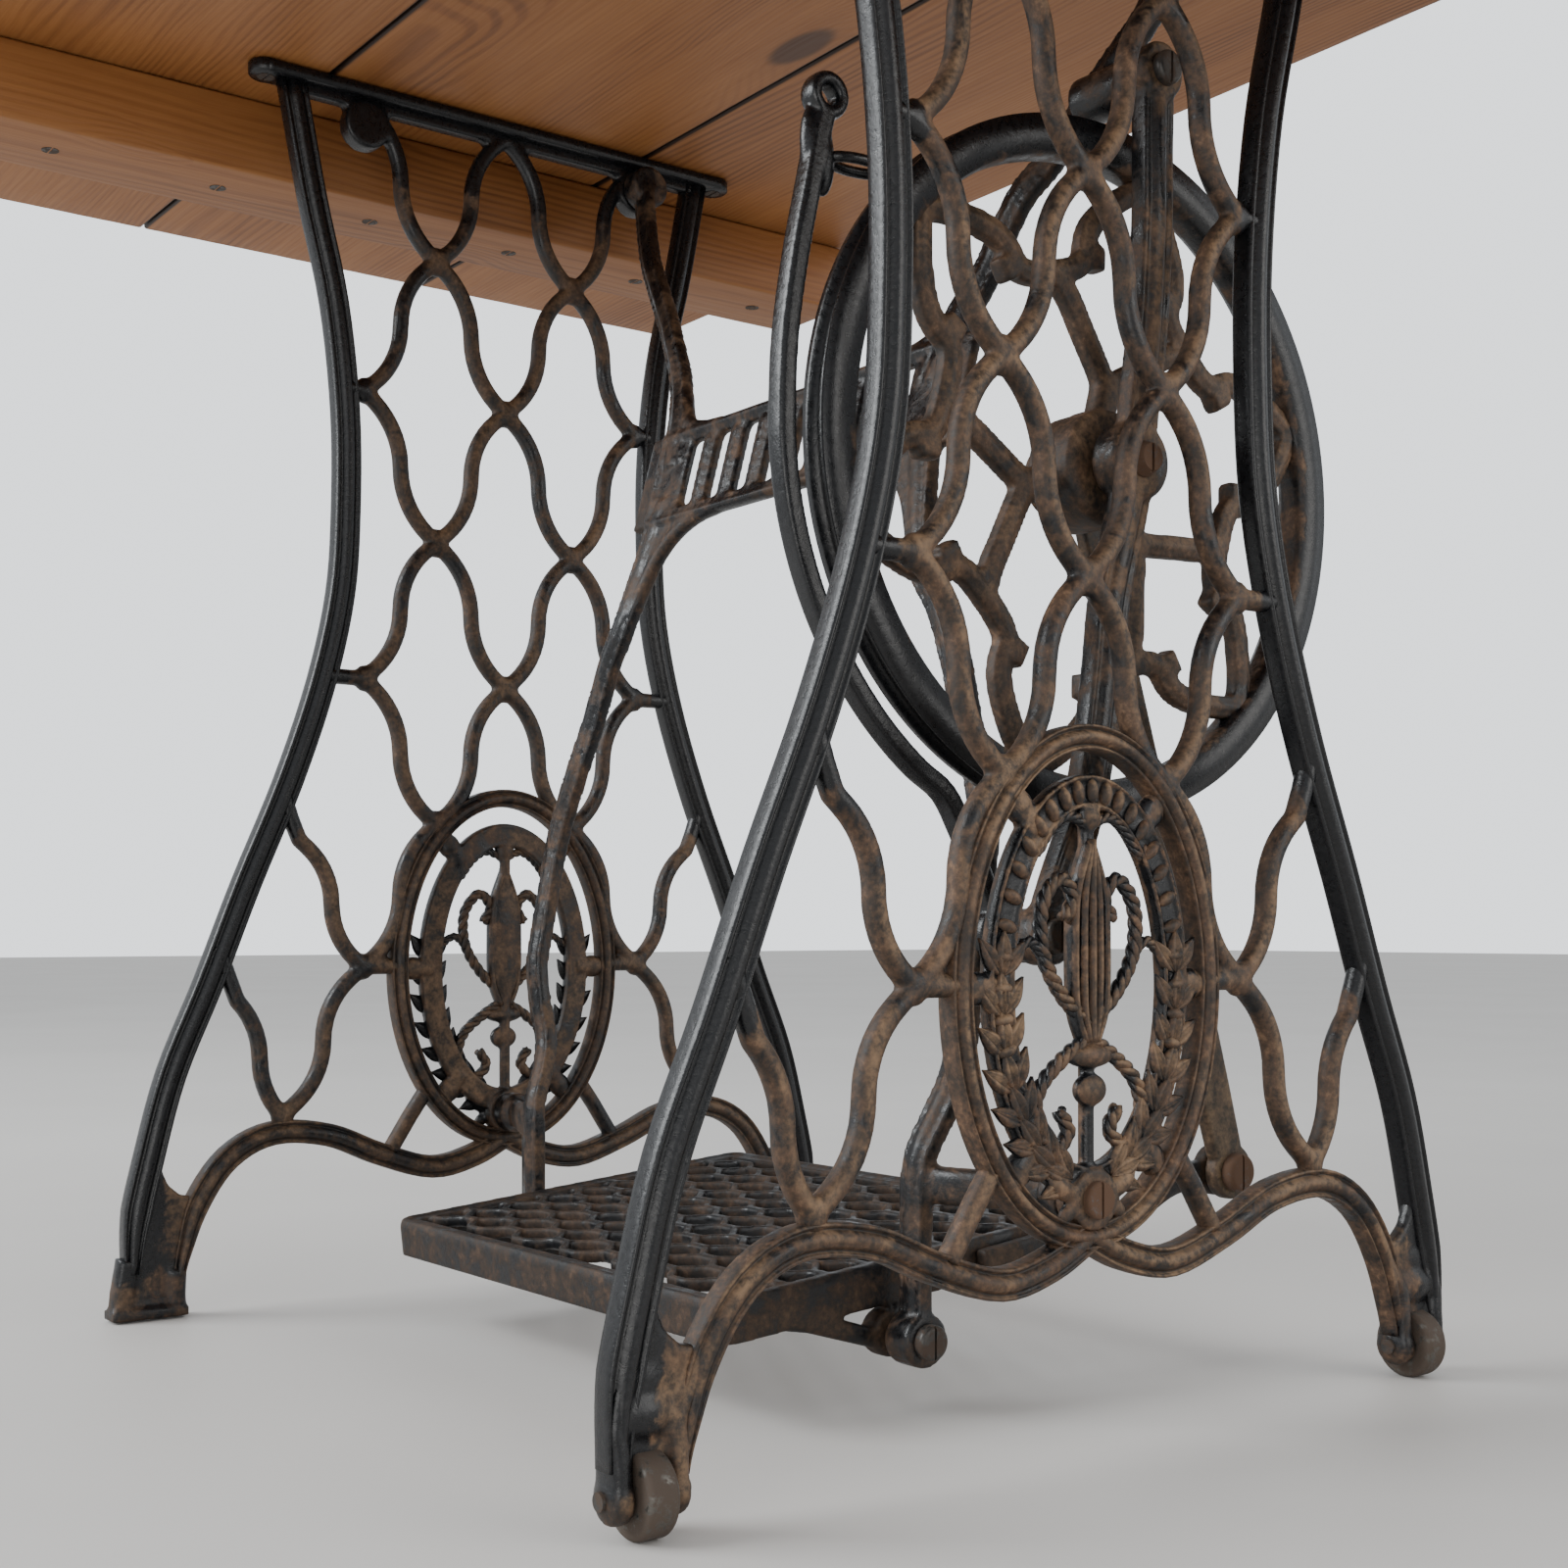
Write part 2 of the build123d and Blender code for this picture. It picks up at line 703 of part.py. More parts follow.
# ---- treadle ---------------------------------------------------------------------------
def treadle():
    """Rimmed foot plate of wavy bars, with a three-cornered hanger at each end."""
    deck = Plane(origin=(0, pivot_y, treadle_top_z), x_dir=(1, 0, 0),
                 z_dir=(0, -sin(radians(treadle_tilt)), cos(radians(treadle_tilt))))
    length = treadle_back - treadle_front
    centre = (treadle_back + treadle_front) / 2
    hanger_outer = treadle_half_width
    with BuildPart() as plate:
        with BuildSketch(deck):
            with Locations((0, centre)):
                RectangleRounded(2 * treadle_half_width, length, 8)
                Rectangle(2 * (treadle_half_width - treadle_rim), length - 2 * treadle_rim,
                          mode=Mode.SUBTRACT)
        extrude(amount=-treadle_depth)
        with BuildSketch(deck):
            with BuildLine():
                for row in range(wave_rows):
                    wave_line(row, length, centre)
            trace(line_width=5)
        extrude(amount=-7)
        for side in (-1, 1):
            with BuildSketch(Plane.YZ.offset(side * hanger_outer)):
                with BuildLine():
                    Polyline((-106, 50), (pivot_y - 4, pivot_z - 3), (pivot_y, pivot_z), (-10, 62))
                trace(line_width=10)
                with Locations((pivot_y, pivot_z)):
                    Circle(11)
            extrude(amount=-side * 12)
        with BuildSketch(Plane.YZ):
            with Locations((pivot_y, pivot_z)):
                Circle(pivot_radius + running_gap)
        extrude(amount=300, both=True, mode=Mode.SUBTRACT)
    save(plate.part, "treadle")


def wave_line(row, length, centre):
    """One zigzag bar of the foot plate; neighbours touch at their corners."""
    reach = treadle_half_width - treadle_rim + 1
    step = 2 * reach / (2 * wave_count)
    spacing = (length - 2 * treadle_rim) / (wave_rows + 1)
    base = centre - length / 2 + treadle_rim + spacing * (row + 1)
    swing = spacing / 2 - 1.5
    points = []
    for corner in range(2 * wave_count + 1):
        way = 1 if (corner + row) % 2 else -1
        points.append((-reach + step * corner, base + way * swing))
    Polyline(*points)


def treadle_arm():
    """Bar bolted outside the treadle's right rim, reaching back to the pitman."""
    slope = tan(radians(treadle_tilt))

    def deck_z(y):
        return treadle_top_z + (y - pivot_y) * slope

    low = (pitman_low_y, pitman_low_z)
    with BuildPart() as arm:
        with BuildSketch(Plane.YZ.offset(treadle_half_width)):
            with BuildLine():
                Polyline((20, deck_z(20) - 17), (20, deck_z(20) - 3), (96, deck_z(96) - 3), (150, 100),
                         (low[0], low[1] + 10), (low[0], low[1] - 10), (150, 78), (96, deck_z(96) - 17),
                         close=True)
            make_face()
            with Locations(low):
                Circle(13)
        extrude(amount=8)
    save(arm.part, "treadle_arm")


# ---- fasteners ---------------------------------------------------------------------------
def grouped(solids, name):
    """Write identical fasteners as separate solids of one node."""
    with BuildPart() as group:
        for solid in solids:
            add(solid)
    save(group.part, name)


def fasteners():
    screw = wood_screw(62)
    under_cleat = rail_top - cleat_height
    grouped(
        [
            Location((side * (cleat_inner_x + cleat_width / 2), -250 + 100 * row, under_cleat)) * screw
            for side in (-1, 1)
            for row in range(6)
        ],
        "cleat_screws",
    )
    short_screw = wood_screw(26)
    grouped(
        [
            Location((side * frame_mid_x, y, rail_top - rail_thickness)) * short_screw
            for side in (-1, 1)
            for y in rail_screw_places
        ],
        "rail_screws",
    )
    upper = bolt(frame_bolt_radius, frame_thickness + 12, 9, 5)
    lower = bolt(frame_bolt_radius, frame_thickness + 10, 8, 4)
    grouped(
        [facing((side * frame_outer_x, *brace_top_bolt), (side, 0, 0)) * upper for side in (-1, 1)],
        "brace_bolts",
    )
    grouped(
        [facing((side * frame_outer_x, *brace_low_bolt), (side, 0, 0)) * lower for side in (-1, 1)],
        "medallion_bolts",
    )
    bracket_bolt = bolt(4.0, bracket_thickness + 18, 7.5, 4.5)
    outer_end = bracket_inner_x + bracket_thickness
    grouped(
        [facing((outer_end, *place), (1, 0, 0)) * bracket_bolt for place in (bracket_top, bracket_low)],
        "bracket_bolts",
    )
    tip_x = treadle_half_width - 11
    leg_outer = leg_x + leg_thickness / 2
    pivot_screw = bolt(pivot_radius, leg_outer - tip_x, 8, 5)
    grouped(
        [facing((side * leg_outer, pivot_y, pivot_z), (side, 0, 0)) * pivot_screw for side in (-1, 1)],
        "pivot_screws",
    )


planks()
cleats()
side_frame("left_side_frame", -1, on_casters=False)
side_frame("right_side_frame", 1, on_casters=True)
casters()
back_brace()
wheel_bracket()
wheel_axle()
dress_guard()
belt_guide()
flywheel()
crank()
pitman()
treadle()
treadle_arm()
fasteners()
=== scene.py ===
"""Looks for the treadle sewing table: cast pieces, worn iron, oiled pine."""

import bpy
import bmesh
import numpy as np
from math import atan, atan2, copysign, cos, pi, radians, sin
from mathutils import Matrix, Vector, noise


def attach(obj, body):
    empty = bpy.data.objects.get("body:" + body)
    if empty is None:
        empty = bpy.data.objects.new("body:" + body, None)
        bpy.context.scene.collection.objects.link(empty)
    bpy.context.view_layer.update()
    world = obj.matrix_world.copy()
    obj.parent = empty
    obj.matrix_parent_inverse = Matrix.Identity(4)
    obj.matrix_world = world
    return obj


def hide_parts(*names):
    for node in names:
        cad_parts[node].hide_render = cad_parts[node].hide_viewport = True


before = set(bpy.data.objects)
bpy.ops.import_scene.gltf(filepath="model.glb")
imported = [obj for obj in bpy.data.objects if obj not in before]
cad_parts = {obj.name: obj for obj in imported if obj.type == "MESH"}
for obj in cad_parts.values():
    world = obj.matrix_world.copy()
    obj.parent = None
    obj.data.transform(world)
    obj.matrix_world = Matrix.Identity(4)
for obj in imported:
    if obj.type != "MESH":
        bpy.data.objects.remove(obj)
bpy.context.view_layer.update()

MM = 0.001
OUTWARD = (1.0, 0.0, 0.0)
FORWARD = (0.0, -1.0, 0.0)
UPWARD = (0.0, 0.0, 1.0)

# ---- dimensions shared with the CAD model, in millimetres
RAIL_TOP = 710.0
BOARD_TOP = 735.0
BOARD_EDGES = [-320.0, -118.0, 97.0, 320.0]
FRAME_X = 250.0
AXLE_Y = 53.0
AXLE_Z = 422.0
PIVOT_Y = -25.0
PIVOT_Z = 34.0
FOOT_Y = 219.0
OVAL_Z = 191.0
LATTICE_BASE = 107.5
LATTICE_PITCH = 84.9
HALF_CELL = 47.0
LOW_NODE_Y = 144.0
GUARD_X = 197.5
GUARD_RADIUS = 172.0
BRACKET_X = 226.0
BRACKET_TOP = (67.0, 598.0)
BRACKET_FOOT = (-1.0, 212.0)
BRACE_BOLT_Y = 94.0
BRACE_BOLT_Z = 688.0
LOW_BOLT_Z = 102.6
ARM_EYE = (182.0, 93.0)
PITMAN_X = 168.5
CRANK_THROW = 28.0
CRANK_ANGLE = 40.0


# ---- mesh tools
class Cast:
    """Closed, overlapping shells of one piece, in millimetres."""

    def __init__(self):
        self.points = []
        self.faces = []

    def rings(self, rings, closed=False):
        """Skin a row of equal rings; the ends are capped unless they meet."""
        first = len(self.points)
        size = len(rings[0])
        for ring in rings:
            self.points.extend(tuple(point) for point in ring)
        count = len(rings)
        for i in range(count if closed else count - 1):
            a = first + i * size
            b = first + ((i + 1) % count) * size
            for j in range(size):
                k = (j + 1) % size
                self.faces.append((a + j, a + k, b + k, b + j))
        if not closed:
            self.faces.append(tuple(first + j for j in reversed(range(size))))
            last = first + (count - 1) * size
            self.faces.append(tuple(last + j for j in range(size)))

    def sweep(self, path, profile, up=OUTWARD, closed=False, sizes=None):
        """Carry a profile of (across, outward) pairs along a path.

        sizes: how wide the profile is at each point of the path, 1 as it stands.
        """
        path = np.array(path, float)
        ahead = np.roll(path, -1, 0) - path
        behind = path - np.roll(path, 1, 0)
        if not closed:
            ahead[-1] = behind[-1]
            behind[0] = ahead[0]
        tangent = unit(unit(ahead) + unit(behind))
        side = unit(np.cross(np.array(up, float), tangent))
        lift = np.cross(tangent, side)
        profile = np.array(profile, float)
        if sizes is None:
            sizes = np.ones(len(path))
        rings = []
        for i in range(len(path)):
            across = profile[:, :1] * side[i] * sizes[i]
            outward = profile[:, 1:] * lift[i]
            rings.append(path[i] + across + outward)
        self.rings(rings, closed)

    def ball(self, centre, radii, turn=0.0, steps=14):
        """Ellipsoid, turned about the X axis."""
        rings = []
        for i in range(1, steps):
            tall = -cos(pi * i / steps)
            wide = sin(pi * i / steps)
            ring = []
            for j in range(steps):
                angle = 2 * pi * j / steps
                x = radii[0] * wide * cos(angle)
                y = radii[1] * wide * sin(angle)
                z = radii[2] * tall
                ring.append((centre[0] + x, centre[1] + y * cos(turn) - z * sin(turn),
                             centre[2] + y * sin(turn) + z * cos(turn)))
            rings.append(ring)
        self.rings(rings)

    def disc(self, centre, radius, thickness, axis="x", edge=1.0, steps=32):
        """Short cylinder with softened edges."""
        half = thickness / 2
        levels = [(-half, radius - edge), (-half + edge, radius),
                  (half - edge, radius), (half, radius - edge)]
        rings = []
        for along, reach in levels:
            ring = []
            for j in range(steps):
                a = reach * cos(2 * pi * j / steps)
                b = reach * sin(2 * pi * j / steps)
                offset = {"x": (along, a, b), "y": (a, along, b), "z": (a, b, along)}[axis]
                ring.append(tuple(c + o for c, o in zip(centre, offset)))
            rings.append(ring)
        self.rings(rings)

    def block(self, low, high):
        """Plain box, whose edges the later smoothing rounds."""
        (x0, y0, z0), (x1, y1, z1) = low, high
        self.rings([[(x0, y0, z0), (x1, y0, z0), (x1, y1, z0), (x0, y1, z0)],
                    [(x0, y0, z1), (x1, y0, z1), (x1, y1, z1), (x0, y1, z1)]])

    def prism(self, outline, x0, x1):
        """Flat outline of (y, z) points, thickened along X."""
        self.rings([[(x0, y, z) for y, z in outline], [(x1, y, z) for y, z in outline]])

    def leaf(self, base, lean, length, width, height, steps=10):
        """Pointed leaf in the plane x = const, with a raised vein along it."""
        x, y, z = base
        half = [(-1.0, 0.0), (-1.0, 0.25), (-0.72, 0.80), (-0.38, 0.92), (-0.16, 0.62)]
        section = half + [(0.0, 1.05)] + [(-a, b) for a, b in reversed(half)] + [(0.0, -0.2)]
        rings = []
        for i in range(steps + 1):
            t = i / steps
            spread = width / 2 * max(sin(pi * t ** 0.85), 0.06)
            rise = height * (0.45 + 0.55 * sin(pi * t))
            ring = []
            for across, up in section:
                side = across * spread
                ring.append((x + up * rise, y + cos(lean) * t * length - sin(lean) * side,
                             z + sin(lean) * t * length + cos(lean) * side))
            rings.append(ring)
        self.rings(rings)

    def extend(self, other, place):
        """Take in another cast, with `place` applied to each of its points."""
        first = len(self.points)
        self.points.extend(place(point) for point in other.points)
        self.faces.extend(tuple(first + i for i in face) for face in other.faces)


def unit(vectors):
    length = np.linalg.norm(vectors, axis=-1, keepdims=True)
    return vectors / np.maximum(length, 1e-9)


def flowing(points, steps):
    """Catmull-Rom line through the points, with some steps between each two."""
    points = np.array(points, float)
    points = np.vstack([2 * points[0] - points[1], points, 2 * points[-1] - points[-2]])
    line = []
    for i in range(1, len(points) - 2):
        a, b, c, d = points[i - 1:i + 3]
        for t in np.arange(steps) / steps:
            line.append(0.5 * (2 * b + (c - a) * t + (2 * a - 5 * b + 4 * c - d) * t ** 2
                               + (3 * b - a - 3 * c + d) * t ** 3))
    line.append(points[-2])
    return np.array(line)


def in_plane(line, x, way=1):
    """(y, z) pairs as points of an upright plane, mirrored where way is -1."""
    return [(x, way * y, z) for y, z in line]


def rounded(width, depth, power=2.0, steps=16):
    """Closed section: 2 is an ellipse, larger powers are squarer."""
    section = []
    for i in range(steps):
        across = cos(2 * pi * i / steps)
        up = sin(2 * pi * i / steps)
        section.append((width / 2 * copysign(abs(across) ** (2 / power), across),
                        depth / 2 * copysign(abs(up) ** (2 / power), up)))
    return section


def moulded(width, depth):
    """Section with a middle bead between two edge ridges, on both faces."""
    half = [(-1.0, 0.30), (-0.97, 0.66), (-0.86, 0.80), (-0.72, 0.70), (-0.62, 0.44),
            (-0.50, 0.62), (-0.28, 0.93)]
    face = half + [(0.0, 1.0)] + [(-a, b) for a, b in reversed(half)]
    top = [(a * width / 2, b * depth / 2) for a, b in face]
    return top + [(a, -b) for a, b in reversed(top)]


def melt(cast, name, voxel, smoothing=3, crisp=None):
    """One watertight mesh from the overlapping shells, softened like a casting.

    The shells of `crisp` are kept as they are and join the piece afterwards.
    """
    raw = bpy.data.meshes.new(name + "_shells")
    raw.from_pydata([tuple(c * MM for c in point) for point in cast.points], [], cast.faces)
    holder = add_object(name, raw)
    melting = holder.modifiers.new("melt", "REMESH")
    melting.mode = "VOXEL"
    melting.voxel_size = voxel * MM
    melting.use_smooth_shade = True
    if smoothing:
        softening = holder.modifiers.new("soften", "SMOOTH")
        softening.factor = 0.5
        softening.iterations = smoothing
    bpy.context.view_layer.update()
    graph = bpy.context.evaluated_depsgraph_get()
    solid = bpy.data.meshes.new_from_object(holder.evaluated_get(graph))
    solid.name = name
    holder.modifiers.clear()
    if crisp:
        joined = bmesh.new()
        joined.from_mesh(solid)
        extra = plain_mesh(crisp, name + "_crisp")
        joined.from_mesh(extra)
        bpy.data.meshes.remove(extra)
        joined.to_mesh(solid)
        joined.free()
        smooth(solid)
    holder.data = solid
    bpy.data.meshes.remove(raw)
    return holder


def smooth(mesh):
    for face in mesh.polygons:
        face.use_smooth = True
    return mesh


def add_object(name, data):
    obj = bpy.data.objects.new(name, data)
    bpy.context.scene.collection.objects.link(obj)
    return obj


def plain_mesh(cast, name):
    """The shells as they are, with their faces turned outwards."""
    mesh = bpy.data.meshes.new(name)
    mesh.from_pydata([tuple(c * MM for c in point) for point in cast.points], [], cast.faces)
    made = bmesh.new()
    made.from_mesh(mesh)
    bmesh.ops.recalc_face_normals(made, faces=made.faces)
    made.to_mesh(mesh)
    made.free()
    return mesh


def plain(cast, name):
    """A piece from the shells alone, shaded smooth."""
    return add_object(name, smooth(plain_mesh(cast, name)))


def positions(obj):
    """The vertices, in millimetres."""
    flat = np.empty(len(obj.data.vertices) * 3, np.float32)
    obj.data.vertices.foreach_get("co", flat)
    return flat.reshape(-1, 3) / MM


def paint(obj, values):
    """How much enamel is left at each vertex, from 0 to 1."""
    layer = obj.data.attributes.new("enamel", "FLOAT", "POINT")
    layer.data.foreach_set("value", np.clip(values, 0, 1).astype(np.float32))


def distance_to(points, line):
    """Distance from (y, z) points to a polyline."""
    line = np.array(line, float)
    nearest = np.full(len(points), 1e9)
    for a, b in zip(line[:-1], line[1:]):
        along = b - a
        t = np.clip(((points - a) @ along) / max(along @ along, 1e-9), 0, 1)
        nearest = np.minimum(nearest, np.linalg.norm(points - a - t[:, None] * along, axis=1))
    return nearest


def finish_piece(obj, material, slot, body, *nodes):
    obj.data.materials.clear()
    obj.data.materials.append(material)
    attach(obj, body)
    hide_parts(*nodes)


# ---- materials
class Graph:
    """Short way to write a node material."""

    def __init__(self, name):
        self.material = bpy.data.materials.new(name)
        self.material.use_nodes = True
        self.tree = self.material.node_tree
        self.shader = self.tree.nodes["Principled BSDF"]

    def node(self, kind, inputs=None, **settings):
        made = self.tree.nodes.new("ShaderNode" + kind)
        for key, value in settings.items():
            setattr(made, key, value)
        for key, value in (inputs or {}).items():
            self.feed(made.inputs[key], value)
        return made

    def feed(self, socket, value):
        if isinstance(value, bpy.types.NodeSocket):
            self.tree.links.new(value, socket)
        else:
            socket.default_value = value

    def set(self, name, value):
        """Give the shader's own socket a value, or link it."""
        self.feed(self.shader.inputs[name], value)

    def coordinates(self):
        return self.node("TexCoord").outputs["Object"]

    def noise(self, place, scale, detail=4.0, roughness=0.55, distortion=0.0):
        made = self.node("TexNoise", {"Vector": place, "Scale": scale, "Detail": detail,
                                      "Roughness": roughness, "Distortion": distortion})
        return made.outputs["Fac"]

    def math(self, operation, a, b=0.0, clamp=False):
        made = self.node("Math", operation=operation, use_clamp=clamp)
        self.feed(made.inputs[0], a)
        self.feed(made.inputs[1], b)
        return made.outputs[0]

    def weighted(self, *terms):
        """Sum of (value, share) pairs."""
        total = None
        for value, share in terms:
            part = self.math("MULTIPLY", value, share)
            total = part if total is None else self.math("ADD", total, part)
        return total

    def stretched(self, place, scale):
        return self.node("Mapping", {"Vector": place, "Scale": scale}).outputs["Vector"]

    def bump(self, height, strength, distance):
        made = self.node("Bump", {"Height": height, "Strength": strength, "Distance": distance})
        self.set("Normal", made.outputs["Normal"])

    def band(self, value, low, high, out_low=0.0, out_high=1.0):
        """Smooth step from low to high."""
        made = self.node("MapRange", {"Value": value, "From Min": low, "From Max": high,
                                      "To Min": out_low, "To Max": out_high},
                         interpolation_type="SMOOTHSTEP")
        return made.outputs["Result"]

    def ramp(self, value, stops):
        """Colour by value, from (position, colour) stops."""
        made = self.node("ValToRGB", {"Fac": value})
        elements = made.color_ramp.elements
        while len(elements) < len(stops):
            elements.new(0.5)
        for element, (place, colour) in zip(elements, stops):
            element.position = place
            element.color = (*colour, 1.0)
        return made.outputs["Color"]

    def blend(self, share, a, b):
        """Colour a where share is 0, colour b where it is 1."""
        made = self.node("Mix", data_type="RGBA")
        self.feed(made.inputs[0], share)
        self.feed(made.inputs[6], a if isinstance(a, bpy.types.NodeSocket) else (*a, 1.0))
        self.feed(made.inputs[7], b if isinstance(b, bpy.types.NodeSocket) else (*b, 1.0))
        return made.outputs[2]


def lit(colour, light, warm=1.0):
    """Colour made lighter or darker, and its red stronger or weaker."""
    red, green, blue = colour
    return (red * warm * light, green * light, blue * light)


def iron(name, enamel, dust_and_highlight=0.5, warm=1.0, use_paint=True, gloss=0.30, light=1.0):
    """Black enamel worn through to brown rust, with ochre that is partly dust and partly a painted
    highlight on the outward- and upward-facing sides, and painted shade in the creases.

    enamel: share of the surface that keeps its enamel where nothing is painted.
    """
    g = Graph(name)
    texture = g.node("TexCoord")
    place = texture.outputs["Object"]
    large = g.noise(place, 20.0, 5.0, 0.6)
    patch = g.noise(place, 75.0, 6.0, 0.68, 0.4)
    fine = g.noise(place, 380.0, 4.0, 0.6)
    speck = g.noise(place, 1500.0, 3.0, 0.6)
    edge = g.node("NewGeometry").outputs["Pointiness"]
    # ochre where the normal points outward or upward, broken up by noise: partly dust, partly a painted
    # highlight on the sides that face the light
    facing = g.node("SeparateXYZ", {"Vector": texture.outputs["Normal"]})
    outward = g.math("ABSOLUTE", facing.outputs["X"])
    dust_and_highlight_mask = g.weighted((outward, 0.75), (facing.outputs["Z"], 0.40))
    rust_mix = g.weighted((patch, 0.60), (fine, 0.40))
    rust = g.ramp(rust_mix, [
        (0.34, lit((0.008, 0.0065, 0.006), light)),
        (0.46, lit((0.030, 0.019, 0.012), light, warm)),
        (0.56, lit((0.072, 0.040, 0.023), light, warm)),
        (0.68, lit((0.170, 0.098, 0.055), light, warm)),
    ])
    dust_and_highlight_mask = g.math("MULTIPLY", g.band(dust_and_highlight_mask, 0.45, 1.0), g.band(large, 0.38, 0.60))
    dust_and_highlight_mask = g.math("MULTIPLY", dust_and_highlight_mask, g.band(rust_mix, 0.36, 0.60))
    dust_and_highlight_share = g.math("MULTIPLY", dust_and_highlight_mask, dust_and_highlight)
    rust = g.blend(dust_and_highlight_share, rust, (0.26 * warm, 0.165, 0.090))
    black = g.ramp(g.weighted((fine, 0.5), (speck, 0.5)), [
        (0.38, (0.0022, 0.0025, 0.0032)),
        (0.60, (0.0065, 0.0070, 0.0085)),
        (0.72, (0.028, 0.025, 0.023)),
    ])
    kept = enamel
    if use_paint:
        painted = g.node("Attribute", attribute_name="enamel").outputs["Fac"]
        kept = g.math("ADD", g.math("MULTIPLY", painted, 0.70), enamel)
    worn = g.weighted((large, 0.40), (patch, 0.60), (g.band(edge, 0.52, 0.64), 0.08))
    line = g.math("SUBTRACT", worn, g.math("MULTIPLY", g.math("SUBTRACT", kept, 0.5), 0.55))
    bare = g.band(line, 0.44, 0.56)
    colour = g.blend(bare, black, rust)
    # painted shade: creases and hollows, where pointiness is low, are drawn near black
    crease_shade = g.math("MULTIPLY", g.band(edge, 0.495, 0.42), 0.85)
    colour = g.blend(crease_shade, colour, (0.006, 0.005, 0.0045))
    g.set("Base Color", colour)
    rough = g.math("ADD", g.math("MULTIPLY", bare, 0.30), gloss)
    rough = g.math("ADD", rough, g.math("MULTIPLY", g.math("SUBTRACT", fine, 0.5), 0.35), clamp=True)
    g.set("Roughness", rough)
    g.set("Metallic", 0.0)
    g.set("Specular IOR Level", 0.40)
    g.bump(g.weighted((patch, 0.6), (fine, 0.5), (speck, 0.20), (bare, -0.35)), 0.50, 0.0008)
    return g.material


def steel(name, colour, rust, share, roughness=0.42, metallic=0.75):
    """Bare or oxidised steel of small fasteners."""
    g = Graph(name)
    place = g.coordinates()
    patch = g.noise(place, 160.0, 5.0, 0.65, 0.3)
    fine = g.noise(place, 900.0, 4.0, 0.6)
    mixed = g.weighted((patch, 0.7), (fine, 0.3))
    rusty = g.band(mixed, 0.62 - share * 0.3, 0.72 - share * 0.3)
    tone = g.ramp(fine, [(0.3, lit(colour, 0.6)), (0.7, colour)])
    g.set("Base Color", g.blend(rusty, tone, rust))
    g.set("Metallic", g.math("MULTIPLY", g.math("SUBTRACT", 1.0, rusty), metallic))
    g.set("Roughness", g.math("ADD", g.math("MULTIPLY", rusty, 0.4), roughness))
    g.bump(mixed, 0.5, 0.0004)
    return g.material


PITH_HEIGHT = 0.745
RING_RATE = 1500.0


